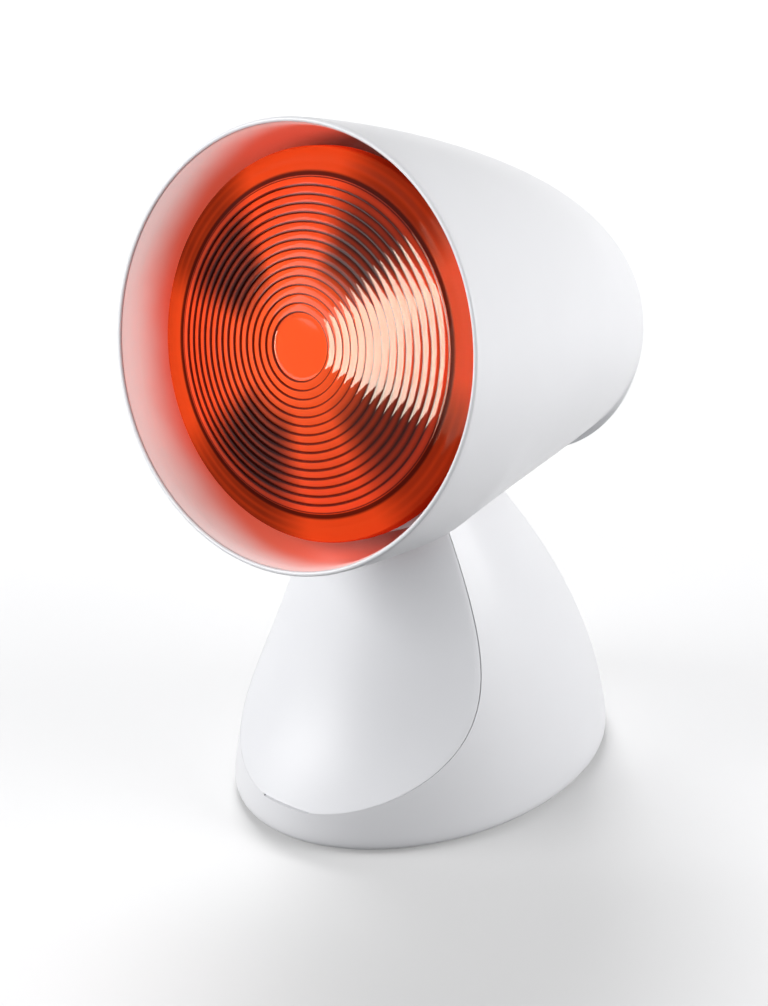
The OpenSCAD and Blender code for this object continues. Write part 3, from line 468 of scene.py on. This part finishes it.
def glassFinish():  # pressed red glass over its mirror, with painted shade as a dark line at each ring's foot and painted dark reflections in four wedges
    k = glassLook
    bench = Bench("redGlass")
    x, y, z = headLocal(bench)
    radius = (x * x + y * y).math("SQRT")
    disc, ringEnd = lensLook["discR"] * mm, lensLook["ringR"] * mm
    pitch = (ringEnd - disc) / lensLook["rings"]
    phase = ((radius - disc) / pitch + k["lineAt"]).math("FRACT")  # lineAt where a ring begins
    onRings = (bench.ramp(radius, disc - k["fadeIn"], disc)
               * (1 - bench.ramp(radius, ringEnd, ringEnd + k["fadeOut"])))
    near = 1 - abs(phase - 0.5) * 2.0
    widen = bench.ramp(radius, disc, k["widenTo"]) * k["widen"]
    # painted shade at the foot of each ring, wider further out
    paintedRingShade = bench.ramp(near + widen, k["lineFrom"], k["lineTo"]) * onRings
    cloud = bench.noise(bench.objectPoint(), k["cloudScale"], 4.0)
    farSide = bench.ramp(abs(phase - 0.5), *k["farSide"])  # the painted reflection is weaker on a ring's far side, which stays redder
    streak = 1 - k["streak"] + k["streak"] * farSide
    paintedReflectionMask = paintedDarkReflection(bench, x, y, radius) * streak * (k["cloudLeast"] + cloud * k["cloudSpread"])
    rise, fall = ([ringEnd + at for at in k[side]] for side in ("grooveIn", "grooveOut"))
    # painted shade in a dark band just outside the last ring
    paintedEdgeShade = bench.ramp(radius, *rise) * (1 - bench.ramp(radius, *fall))
    colour = bench.mix(bench.ramp(radius, k["brightFrom"], k["brightTo"]), k["bright"], k["colour"])
    colour = bench.mix(bench.ramp(radius, ringEnd, ringEnd + k["edgeSoft"]), colour, k["edge"])
    # painted dark reflections over the red
    colour = bench.mix(paintedReflectionMask.math("MINIMUM", k["darkMost"]), colour, k["dark"])
    colour = bench.mix((paintedRingShade * k["lineMost"]).math("MAXIMUM", paintedEdgeShade * k["grooveMost"]), colour, k["line"])
    offRings = bench.ramp(radius, ringEnd - k["coatFrom"], ringEnd + k["coatTo"])
    return bench.shade({
        "Base Color": colour, "Roughness": k["roughness"] + (cloud - 0.5) * k["glossSpread"],
        "Specular IOR Level": 0.0, "Coat Weight": 1 - k["coatLoss"] * offRings,
        "Coat Roughness": k["coatRoughness"], "Coat IOR": k["coatIor"],
        "Emission Color": colour, "Emission Strength": k["glowing"]})


finishes["red_glass"] = glassFinish()
shadeInside = paintedLightInside()

subparts = frame["record"].get("subparts", [])
for part in subparts:  # every CAD node takes its slot's finish; what is replaced below isn't shown
    node = nodes[part["node"]]
    node.data.materials.clear()
    node.data.materials.append(finishes[part["material_slot"]])
print("finishes on", len(subparts), "nodes")

# Shade

shadeLook = {  # in mm and degrees; depths run back from the rim
    "r": 70.0, "length": 156.0, "wall": 2.2, "taper": 1.37, "fullness": 2.9,
    "bellyEnd": 128.0, "bellyDepth": 39.0, "bellySlope": 0.25, "bellyCurve": 900.0, "corner": 2.4,
    "flankFrom": 76.0, "flankTo": 156.0,
    "lip": 1.7, "lipDeep": 0.9, "lipSteps": 13, "wallFrom": 3.0, "wallNext": 3.2,
    "sides": 240, "outerRings": 96, "innerRings": 56, "crowding": 2.2, "cornerRings": 9, "cornerClear": 0.4,
    "slots": 9, "slotR": 1.4, "slotPitch": 4.428, "slotReach": 19.0, "slotUp": 4.2, "slotLow": 0.55,
    "slotDeep": 21.0, "cutSides": 160, "cutCoarse": 4,
    "holeSide": 29.3, "holeFront": -39.8, "holeBack": 36.6, "holeSoft": 0.8,
    "holeLow": 76.9, "holeHigh": 118.9,
    "bossR": 4.0, "bossAt": 33.2, "bossFront": 112.0, "bossAngles": (0.0, 80.0, -80.0),
    "bossSearch": (100, 152, 300)}


def shadeRadius(s):  # r * (1 - (s / length) ^ taper) ^ (1 / fullness)
    k = shadeLook
    return k["r"] * np.maximum(0, 1 - (s / k["length"]) ** k["taper"]) ** (1 / k["fullness"])


def hollowDepth(s):  # the hollow underside, from the axis down: a straight slope plus a shallow parabola
    k = shadeLook
    back = k["bellyEnd"] - s
    slope = k["bellyDepth"] + k["bellySlope"] * back + back ** 2 / (2 * k["bellyCurve"])
    return np.minimum(shadeRadius(s), slope)


def shadeDepth(s):  # the outside follows the hollow line, then steps out to the full radius near the tail
    hollow = hollowDepth(s)
    return hollow + (shadeRadius(s) - hollow) * ease((s - shadeLook["bellyEnd"]) / shadeLook["corner"])


def shadeRings(s, radius, depth):  # radius at the top, eased to depth below between the flank angles
    k = shadeLook
    angle = np.arange(k["sides"]) * 360.0 / k["sides"]
    fromTop = np.minimum(angle, 360 - angle)
    under = ease((fromTop - k["flankFrom"]) / (k["flankTo"] - k["flankFrom"]))
    rho = radius[:, None] + (depth - radius)[:, None] * under
    turn = np.radians(angle)
    return headPoint(rho * np.sin(turn), rho * np.cos(turn), s[:, None] + 0 * rho)


def shadeStations(count):  # ring depths: length * (1 - (1 - t) ^ crowding), closer at the tail's corner
    k = shadeLook
    s = k["length"] * (1 - (1 - np.arange(1, count) / count) ** k["crowding"])
    corner = k["bellyEnd"] + np.linspace(0, k["corner"], k["cornerRings"])
    s = s[(s < corner[0] - k["cornerClear"]) | (s > corner[-1] + k["cornerClear"])]
    return np.sort(np.concatenate([s, corner]))


def shadeSkin():  # inner wall, rolled lip and outside as one closed skin
    k = shadeLook
    thin, short = (k["r"] - k["wall"]) / k["r"], (k["length"] - k["wall"]) / k["length"]
    outer, inner = shadeStations(k["outerRings"]), shadeStations(k["innerRings"])[::-1]
    inner = inner[inner * short > k["wallNext"]]
    start = np.array([k["wallFrom"]])
    turn = np.radians(np.linspace(0, 180, k["lipSteps"]))
    lipR, lipS = k["r"] - k["lip"] / 2 * (1 + np.cos(turn)), k["lipDeep"] * (1 - np.sin(turn))
    rings = np.concatenate([
        shadeRings(inner * short, shadeRadius(inner) * thin, hollowDepth(inner) * thin),
        shadeRings(start, shadeRadius(start) * thin, shadeRadius(start) * thin),
        shadeRings(lipS, lipR, lipR),
        shadeRings(outer, shadeRadius(outer), shadeDepth(outer))])
    ends = headPoint(np.zeros(2), np.zeros(2), np.array([k["length"] * short, k["length"]]))
    piece = closedSkin("shade", rings, ends[0], ends[1])
    piece.data.materials.append(finishes["white_plastic"])
    piece.data.materials.append(shadeInside)
    index = np.zeros(len(piece.data.polygons), np.int32)
    index[:k["sides"] * (len(inner) + 1)] = 1  # the inner wall up to the lip
    index[-2 * k["sides"]:-k["sides"]] = 1  # and its closed end
    piece.data.polygons.foreach_set("material_index", index)
    return piece


def neckHole(turn):  # an oval a little squarer than an ellipse, through the hollow underside
    k = shadeLook
    soft = lambda v: np.sign(v) * np.abs(v) ** k["holeSoft"]
    middle, half = (k["holeBack"] + k["holeFront"]) / 2, (k["holeBack"] - k["holeFront"]) / 2
    outline = np.stack([k["holeSide"] * soft(np.sin(turn)), middle + half * soft(np.cos(turn))], -1)
    return prism("neckHole", outline, k["holeLow"], k["holeHigh"], asDrawn)


def ventSlot(turn, x):  # an upright slot with round ends, its top on a circle and its foot at slotLow of that
    k = shadeLook
    reach = math.sqrt(k["slotReach"] ** 2 - x * x) - k["slotR"]
    ends = np.where(np.cos(turn) > 0, reach, -k["slotLow"] * reach) + k["slotUp"]
    outline = np.stack([x + k["slotR"] * np.sin(turn), ends + k["slotR"] * np.cos(turn)], -1)
    return prism("ventSlot", outline, k["length"] - k["slotDeep"], k["length"] + 1, headPoint)


def screwBoss(turn, degrees):  # a round post that runs back until it meets the curved wall
    k = shadeLook
    depths = np.linspace(*k["bossSearch"])
    wallR = shadeRadius(depths) * (1 - k["wall"] / 2 / k["r"])
    a = math.radians(degrees)
    cx, cy = k["bossAt"] * math.sin(a), k["bossAt"] * math.cos(a)
    x, y = cx + k["bossR"] * np.sin(turn), cy + k["bossR"] * np.cos(turn)
    end = np.interp(-np.hypot(x, y), -wallR, depths)
    rings = np.stack([headPoint(x, y, k["bossFront"] + 0 * x), headPoint(x, y, end)])
    tip = headPoint(np.full(2, cx), np.full(2, cy), np.array([k["bossFront"], end.mean()]))
    return closedSkin("boss", rings, tip[0], tip[1])


def makeShade():
    k = shadeLook
    turn = roundTurn(k["cutSides"])
    coarse = turn[::k["cutCoarse"]]
    places = [(i - k["slots"] // 2) * k["slotPitch"] for i in range(k["slots"])]
    piece = cutOut(shadeSkin(), [neckHole(turn)] + [ventSlot(coarse, x) for x in places])
    joined(piece, [screwBoss(coarse, degrees) for degrees in k["bossAngles"]])
    return place(piece, "head", ["head_shell"], 30)


makeShade()

# Bulb

bulbLook = {  # in mm
    "r": 61.0, "recess": 14.0, "rise": 9.2, "glass": 2.4, "seat": 3.45, "sides": 224,
    "ringH": 0.56, "ringSteps": (0, 0.04, 0.09, 0.17, 0.27, 0.38, 0.5, 0.62, 0.75, 0.88), "ringUp": 0.09,
    "discSunk": 0.12, "discGap": 0.3, "discRows": 8, "innerRows": 24,
    "bead": 0.14, "beads": 2, "beadGap": 0.35, "beadRows": 20, "roundR": 0.8, "roundDeep": 1.2,
    "roundTurn": (15, 90, 6)}


def lensDepth(r):  # a cap of a sphere: recess - (sqrt(sphere^2 - r^2) - (sphere - rise))
    k = bulbLook
    sphere = (k["r"] ** 2 + k["rise"] ** 2) / (2 * k["rise"])
    return k["recess"] - (np.sqrt(sphere ** 2 - r * r) - (sphere - k["rise"]))


def makeLens():
    k, rings = bulbLook, lensLook
    across = np.array(k["ringSteps"])  # over one ring: a short step up, then a slope that steepens
    pitch = (rings["ringR"] - rings["discR"]) / rings["rings"]
    ringR = (rings["discR"] + pitch * (np.arange(rings["rings"])[:, None] + across)).ravel()
    crown = np.tile(k["ringH"] * np.minimum(across / k["ringUp"], 1) * (1 - across ** 2), rings["rings"])
    ringR, crown = np.append(ringR, rings["ringR"]), np.append(crown, 0)
    disc = np.linspace(0, rings["discR"] - k["discGap"], k["discRows"])
    brink, bore, seat = k["r"] - k["roundR"], k["r"] - k["glass"], k["recess"] + k["seat"]
    edge = np.linspace(rings["ringR"] + k["beadGap"], brink, k["beadRows"])  # low beads round the edge
    bead = k["bead"] * np.abs(np.sin((edge - edge[0]) / (edge[-1] - edge[0]) * k["beads"] * math.pi))
    turn = np.radians(np.linspace(*k["roundTurn"]))
    side = np.stack([brink + k["roundR"] * np.sin(turn),
                     lensDepth(brink) + k["roundDeep"] * (1 - np.cos(turn))], -1)
    inner = np.linspace(bore, 0, k["innerRows"])
    profile = np.concatenate([
        np.stack([disc, lensDepth(disc) + k["discSunk"]], -1),
        np.stack([ringR, lensDepth(ringR) - crown], -1),
        np.stack([edge, lensDepth(edge) - bead], -1),
        side,
        [[k["r"], seat], [bore, seat]],
        np.stack([inner, lensDepth(np.minimum(inner, bore - 1)) + k["glass"]], -1)])
    piece = turned("bulbLens", profile, headPoint, k["sides"])
    piece.data.materials.append(finishes["red_glass"])
    return place(piece, "head", ["bulb_lens"], 60)


bulbLens = makeLens()
print("bulb made")

# Foot

footLook = {  # in mm
    "w": 108.6, "l": 145.0, "apex": 150.0, "power": 1.6, "lean": 14.0, "leanAt": 110.0, "top": 106.0,
    "wall": 3.0, "deckZ": 97.0, "deckT": 4.0, "deckRow": 3.0,
    "cavityRows": (90.0, 18.0, -4.0), "cavityLow": 8.0, "cavityFoot": (0.2, 0.4),
    "skirt": 1.2, "skirtRows": 6, "topRound": ((1.0, 0.0), (0.4, 0.15), (0.0, 0.6)),
    "skirtRound": ((0, 2.2), (0.25, 1.55), (0.6, 1.0), (1.2, 0.5), (1.9, 0.25), (3.1, 0.08), (4.5, 0)),
    "panelT": 1.8, "gap": 0.35, "joint": 0.14, "bevel": 0.8, "step": 0.5, "edgeR": 0.3,
    "panelY": 61.4, "panelLean": 0.3, "flare": 21.4, "flareH": 21.6, "flareCurve": 1.4,
    "bulge": 53.0, "spanShare": 0.563, "spanTaper": 0.00195, "spanMost": 0.99,
    "sidePoints": 180, "frontPoints": 56, "frontShare": 0.96, "halvings": 40,
    "panelLowest": (6.0, 30.0), "sideMost": 0.999, "jointRow": 0.5, "jointClear": 0.8,
    "toeRows": (0, 0.15, 0.3, 0.6, 0.9, 1.3, 1.8, 2.4, 3, 3.8,
                4.6, 5.6, 6.6, 7.9, 9.2, 10.8, 12.5, 14.5, 16.5),
    "rowsFrom": 18.5, "rowStep": 2.0, "rowsClear": 1.2,
    "sectorSlot": (6.0, 21.0, 0.3), "leadR": 2.0, "leadX": 19.0, "leadY": -15.5, "holeSides": 48}


def footShare(z):  # 1 - (z / apex) ^ power
    return 1 - (np.maximum(z, 0) / footLook["apex"]) ** footLook["power"]


def footHalfW(z): return footLook["w"] / 2 * footShare(z)  # half the width, times that share
def footHalfL(z): return footLook["l"] / 2 * footShare(z)  # half the length, times that share


def footMid(z):  # the oval's middle leans forward: -lean * (z / leanAt) ^ 2
    return -footLook["lean"] * (np.maximum(z, 0) / footLook["leanAt"]) ** 2


def panelFront(z):  # a leaning line with a toe: -(panelY - panelLean z + flare e ^ -(z / flareH) ^ flareCurve)
    k = footLook
    return -(k["panelY"] - k["panelLean"] * z + k["flare"] * np.exp(-(z / k["flareH"]) ** k["flareCurve"]))


def panelFace(x, z):  # that line, bent back across its width: + bulge * (1 - sqrt(1 - (x / span)^2))
    k = footLook
    span = k["w"] * (k["spanShare"] - k["spanTaper"] * z)
    return panelFront(z) + k["bulge"] * (1 - np.sqrt(1 - np.minimum(k["spanMost"], np.abs(x) / span) ** 2))


def footFront(x, z):  # the oval's front: middle - halfL * sqrt(1 - (x / halfW)^2)
    return footMid(z) - footHalfL(z) * np.sqrt(np.maximum(0, 1 - (x / footHalfW(z)) ** 2))


def panelHalf(z):  # where the panel's face meets the foot's side, by halving
    z = np.asarray(z, float)
    low, high = np.zeros_like(z), footHalfW(z) * footLook["sideMost"]
    for _ in range(footLook["halvings"]):
        x = (low + high) / 2
        inFront = footFront(x, z) < panelFace(x, z)
        low, high = np.where(inFront, x, low), np.where(inFront, high, x)
    return np.where(footFront(0 * z, z) >= panelFront(z), 0, (low + high) / 2)


def lowestPanel():  # the height at which the panel's middle leaves the oval, by halving
    low, high = footLook["panelLowest"]
    for _ in range(footLook["halvings"]):
        z = (low + high) / 2
        low, high = (z, high) if footFront(0.0, z) >= panelFront(z) else (low, z)
    return high


panelLow = lowestPanel()
panelBase = panelLow + footLook["step"]
plainBelow = panelBase - 1  # under this height the cavity is a plain oval


def footPoint(z, inset, angle):  # the foot's oval, its half axes less inset; the angle starts at the front
    return np.stack(np.broadcast_arrays((footHalfW(z) - inset) * np.sin(angle),
                                        footMid(z) - (footHalfL(z) - inset) * np.cos(angle), z), -1)


def footAngles(z):
    k = footLook
    crease = math.asin(float(panelHalf(max(z, panelBase))) / footHalfW(max(z, panelBase)))
    side = crease + (2 * math.pi - 2 * crease) * np.arange(k["sidePoints"]) / (k["sidePoints"] - 1)
    across = 2 * np.arange(k["frontPoints"] + 1) / k["frontPoints"] - 1
    return crease, side, across


def footRing(z, inset, recess):  # round the back from crease to crease, then across the front
    k = footLook
    crease, side, across = footAngles(z)
    if recess == 0:
        front = footPoint(z, inset, crease * across * k["frontShare"])
    else:
        x = (float(panelHalf(max(z, panelBase))) - k["bevel"]) * across
        front = np.stack([x, panelFace(x, z) + recess, 0 * x + z], -1)
    return np.concatenate([footPoint(z, inset, side), front])


def cavityRing(z, inset):  # an oval kept back from the panel's recess
    k = footLook
    crease, side, across = footAngles(z)
    points = footPoint(z, inset, np.concatenate([side, crease * across * k["frontShare"]]))
    if z >= plainBelow:
        wall = panelFace(points[:, 0], max(z, panelBase)) + k["panelT"] + k["gap"] + k["wall"]
        points[:, 1] = np.maximum(points[:, 1], wall)
    return points


def panelHeights(top):  # close rows where the toe curves, then even ones
    k = footLook
    even = np.arange(panelBase + k["rowsFrom"], top - k["rowsClear"], k["rowStep"])
    return np.concatenate([panelBase + np.array(k["toeRows"]), even])


def backFrame(z, span):  # frame on the foot's rear wall: x across, y up the wall, depth out of it
    back = lambda h: float(footMid(h) + footHalfL(h))
    lean = math.atan((back(z - span) - back(z + span)) / (2 * span))
    def toWorld(x, y, out):
        return np.stack(np.broadcast_arrays(
            x, back(z) + out * math.cos(lean) - y * math.sin(lean),
            z + out * math.sin(lean) + y * math.cos(lean)), -1)
    return toWorld


switchLook = {"z": 38.0, "w": 13.2, "h": 19.4, "r": 0.4, "span": 8.0, "cut": 20,
              "plinth": 5.0, "plinthR": 2.5, "plinthBack": -4.4, "plinthEdge": -0.1,
              "plinthFront": 0.2, "plinthBevel": 0.6}
inletLook = {"z": 14.0, "r": 5.0, "span": 6.0, "cut": 12}


def baseSkin(cavityTop):  # the cavity's wall, the skirt, the outside with the panel's recess, the neck's mouth
    k = footLook
    recess, skirtTop = k["panelT"] + k["gap"], k["skirt"] + k["skirtRound"][-1][0]
    rings = [cavityRing(z, k["wall"]) for z in np.concatenate([[cavityTop], np.arange(*k["cavityRows"])])]
    rings += [cavityRing(plainBelow - 0.01, k["wall"]), cavityRing(k["cavityLow"], k["wall"]),
              cavityRing(skirtTop, k["wall"] + k["cavityFoot"][0]),
              cavityRing(k["skirt"], k["wall"] + k["cavityFoot"][1])]
    rings += [footRing(k["skirt"] + up, inset, 0) for up, inset in k["skirtRound"]]
    rings += [footRing(z, 0, 0) for z in np.linspace(skirtTop, panelLow, k["skirtRows"])[1:]]
    rings += [footRing(z, 0, recess) for z in panelHeights(k["top"])]
    rings += [footRing(k["top"] - down, inset, recess + inset) for down, inset in k["topRound"]]
    rings += [cavityRing(z, k["wall"])
              for z in (k["top"], k["top"] - k["deckRow"], k["deckZ"] + k["deckRow"], k["deckZ"])]
    return closedSkin("baseShell", np.array(rings), (0, float(footMid(cavityTop)), cavityTop),
                      (0, float(footMid(k["deckZ"])), k["deckZ"]))


def baseCuts(cavityTop, onSwitch):  # switch and inlet in the rear wall, click sector and leads in the deck
    k, s, i = footLook, switchLook, inletLook
    turn = roundTurn(k["holeSides"])
    circle = lambda r, cx=0.0, cy=0.0: np.stack([cx + r * np.sin(turn), cy + r * np.cos(turn)], -1)
    deck = (cavityTop - 1, k["deckZ"] + 1, asDrawn)
    return [prism("switchHole", roundedRect(s["w"], s["h"], s["r"]), -s["cut"], s["cut"], onSwitch),
            prism("inletHole", circle(i["r"]), -i["cut"], i["cut"], backFrame(i["z"], i["span"])),
            prism("sectorSlot", roundedRect(*k["sectorSlot"]) + [0, headLook["hingeY"]], *deck),
            prism("leadHole", circle(k["leadR"], -k["leadX"], k["leadY"]), *deck),
            prism("leadHole", circle(k["leadR"], k["leadX"], k["leadY"]), *deck)]


def switchPlinth(onSwitch):  # a flat pad round the switch hole, standing a little out of the leaning wall
    s = switchLook
    w, h = s["w"] + s["plinth"], s["h"] + s["plinth"]
    outer, hole = roundedRect(w, h, s["plinthR"]), roundedRect(s["w"], s["h"], s["r"])
    at = lambda loop, out: onSwitch(loop[:, 0], loop[:, 1], out + 0 * loop[:, 0])
    return ringLoops("plinth", [
        at(outer, s["plinthBack"]), at(outer, s["plinthEdge"]),
        at(outer * (1 - s["plinthBevel"] / w), s["plinthFront"]),
        at(hole, s["plinthFront"]), at(hole, s["plinthBack"])])


def makeBaseShell():
    cavityTop = footLook["deckZ"] - footLook["deckT"]
    onSwitch = backFrame(switchLook["z"], switchLook["span"])
    piece = baseSkin(cavityTop)
    piece.data.materials.append(finishes["white_plastic"])
    cutOut(piece, baseCuts(cavityTop, onSwitch))
    joined(piece, [switchPlinth(onSwitch)])
    return place(piece, "foot", ["base_shell"], 28)


makeBaseShell()


def makeFrontPanel():
    k = footLook
    top = k["top"] - 1
    heights = panelHeights(top)
    low = [panelBase + k["joint"], panelBase + k["jointRow"]]
    heights = np.concatenate([low, heights[heights > panelBase + k["jointClear"]], [top]])
    share = 1 - 2 * np.arange(k["frontPoints"] + 1) / k["frontPoints"]
    def row(z, back):
        x = (1 if back else -1) * (float(panelHalf(z)) - k["joint"] - (k["bevel"] if back else 0)) * share
        return np.stack([x, panelFace(x, z) + (k["panelT"] if back else 0), 0 * x + z], -1)
    rings = np.array([np.concatenate([row(z, False), row(z, True)]) for z in heights])
    rows, columns = rings.shape[:2]
    j = np.arange(k["frontPoints"])
    last = (rows - 1) * columns
    quads = np.concatenate([
        gridQuads(rows, columns),
        np.stack([j, columns - 1 - j, columns - 2 - j, j + 1], -1),
        last + np.stack([j + 1, columns - 2 - j, columns - 1 - j, j], -1)])
    piece = meshPiece("frontPanel", rings.reshape(-1, 3), quads)
    edge = piece.modifiers.new("edge", "BEVEL")  # a small radius on the moulded edge
    edge.width, edge.segments = k["edgeR"] * mm, 2
    edge.limit_method, edge.angle_limit = "ANGLE", math.radians(50)
    bake(piece)
    piece.data.materials.clear()
    piece.data.materials.append(finishes["panel_plastic"])
    return place(piece, "foot", ["front_panel"], 40)


makeFrontPanel()
print("foot made")

# Camera, light and floor

viewLook = {"azimuth": 39.10, "elevation": 26.93, "distance": 1.300, "shift": -0.0129, "height": 0.09316,
            "lens": 143.7, "sensor": 36.0}


def outTo(azimuth, elevation):  # direction from the object, in degrees from the front and up from the floor
    a, e = math.radians(azimuth), math.radians(elevation)
    return Vector((math.sin(a) * math.cos(e), -math.cos(a) * math.cos(e), math.sin(e)))


def lookBack(holder, spot, back):  # a camera or lamp stands at the spot and looks against back
    holder.location = spot
    holder.rotation_mode = "QUATERNION"
    holder.rotation_quaternion = (-back).to_track_quat("-Z", "Y")
    bpy.context.scene.collection.objects.link(holder)


def makeCamera():
    k = viewLook
    a, back = math.radians(k["azimuth"]), outTo(k["azimuth"], k["elevation"])
    aim = Vector((k["shift"] * math.cos(a), k["shift"] * math.sin(a), k["height"]))
    camera = bpy.data.objects.new("camera", bpy.data.cameras.new("camera"))
    camera.data.lens, camera.data.sensor_width = k["lens"], k["sensor"]
    lookBack(camera, aim + back * k["distance"], back)
    bpy.context.scene.camera = camera


makeCamera()

lightAim = Vector((0, 0, 0.12))
lightLook = {
    "leftBox": {"azimuth": -36.0, "elevation": 21.0, "distance": 1.2, "size": (0.8, 0.6), "power": 12.0},
    "rightBox": {"azimuth": 116.0, "elevation": 20.0, "distance": 1.2, "size": (0.8, 0.9), "power": 11.5},
    "backBox": {"azimuth": -130.0, "elevation": 52.0, "distance": 1.2, "size": (0.6, 0.6), "power": 1.5},
    "floorBox": {"azimuth": -132.0, "elevation": 47.0, "distance": 3.0, "size": (1.3, 1.3), "power": 95.0},
    "lensBox": {"azimuth": 3.0, "elevation": 18.0, "distance": 1.2, "size": (0.66, 0.92), "power": 155.0,
                "colour": (1.0, 0.87, 0.71)}}


def makeLight(name, look):
    lamp = bpy.data.lights.new(name, "AREA")
    lamp.shape, lamp.energy = "RECTANGLE", look["power"]
    lamp.size, lamp.size_y = look["size"]
    lamp.color = look.get("colour", (1.0, 1.0, 1.0))
    back = outTo(look["azimuth"], look["elevation"])
    lookBack(bpy.data.objects.new(name, lamp), lightAim + back * look["distance"], back)


for name, look in lightLook.items():
    makeLight(name, look)


def lightOnly(name, piece):  # the lamp reaches this one piece
    lit = bpy.data.collections.new(name + "Only")
    lit.objects.link(piece)
    bpy.data.objects[name].light_linking.receiver_collection = lit


lightOnly("lensBox", bulbLens)  # the pale glints in the lens's rings, and no more light on its colour
bpy.data.objects["lensBox"].visible_diffuse = False

skyLook = {"colour": (0.97, 0.98, 1.0), "horizon": 0.50, "overhead": 0.10, "dimAt": 0.8,
           "below": 0.35, "lowFrom": -0.25, "lowTo": 0.02}


def shownTo(bench):  # what the camera, metal and glass see
    path = bench.add("ShaderNodeLightPath")
    direct = path["Is Camera Ray"].math("MAXIMUM", path["Is Glossy Ray"])
    return direct.math("MAXIMUM", path["Is Transmission Ray"])


def makeWorld():  # brightest at the horizon, dimmer overhead and below
    k = skyLook
    bench = Bench("studio", bpy.data.worlds)
    x, y, z = bench.parts(bench.add("ShaderNodeTexCoord")["Generated"])
    low = bench.ramp(z, k["lowFrom"], k["lowTo"], k["below"], 1.0)
    strength = bench.ramp(abs(z), 0.0, k["dimAt"], k["horizon"], k["overhead"]) * low
    plain = bench.add("ShaderNodeBackground", None, {"Color": k["colour"], "Strength": strength})
    seen = bench.add("ShaderNodeBackground", None, {"Color": (1.0, 1.0, 1.0), "Strength": 1.0})
    both = bench.add("ShaderNodeMixShader", None, {0: shownTo(bench), 1: plain[0], 2: seen[0]})["Shader"]
    bench.add("ShaderNodeOutputWorld", None, {"Surface": both})
    bpy.context.scene.world = bench.material


makeWorld()

floorLook = {"colour": (0.46, 0.46, 0.47), "cloud": (0.48, 0.48, 0.48), "cloudScale": 3.0, "roughness": 0.9,
             "specular": 0.1, "near": (0.12, 1.2, 0.26, 0.58), "wide": (1.0, 4.0, 0.0, 0.32), "half": 4000.0}


def makeFloor():  # pale, and paler with distance for the camera, by ramps of (from, to, start, end) in metres
    k = floorLook
    bench = Bench("paleFloor")
    cloud = bench.noise(bench.objectPoint(), k["cloudScale"], 2.0)
    x, y, z = bench.parts(bench.objectPoint())
    far = (x * x + y * y).math("SQRT")
    away = bench.ramp(far, *k["near"]) + bench.ramp(far, *k["wide"])
    material = bench.shade({
        "Base Color": bench.mix(cloud, k["colour"], k["cloud"]), "Roughness": k["roughness"],
        "Specular IOR Level": k["specular"], "Emission Strength": 1.0,
        "Emission Color": bench.mix(shownTo(bench) * away, (0.0, 0.0, 0.0), (1.0, 1.0, 1.0))})
    corners = np.array([[-1, -1, 0], [1, -1, 0], [1, 1, 0], [-1, 1, 0]]) * k["half"]
    floor = meshPiece("floor", corners, np.array([[0, 1, 2, 3]]), outward=False)
    floor.data.materials.append(material)
    floor.visible_diffuse = False  # it throws no light up at the object
    floor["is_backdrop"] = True
    lightOnly("floorBox", floor)  # the soft shadow in front of the foot


makeFloor()
scene = bpy.context.scene
scene.view_settings.view_transform = "Standard"

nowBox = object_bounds()
{"cad": [list(cadBox[0]), list(cadBox[1])], "visual": [list(nowBox[0]), list(nowBox[1])]}
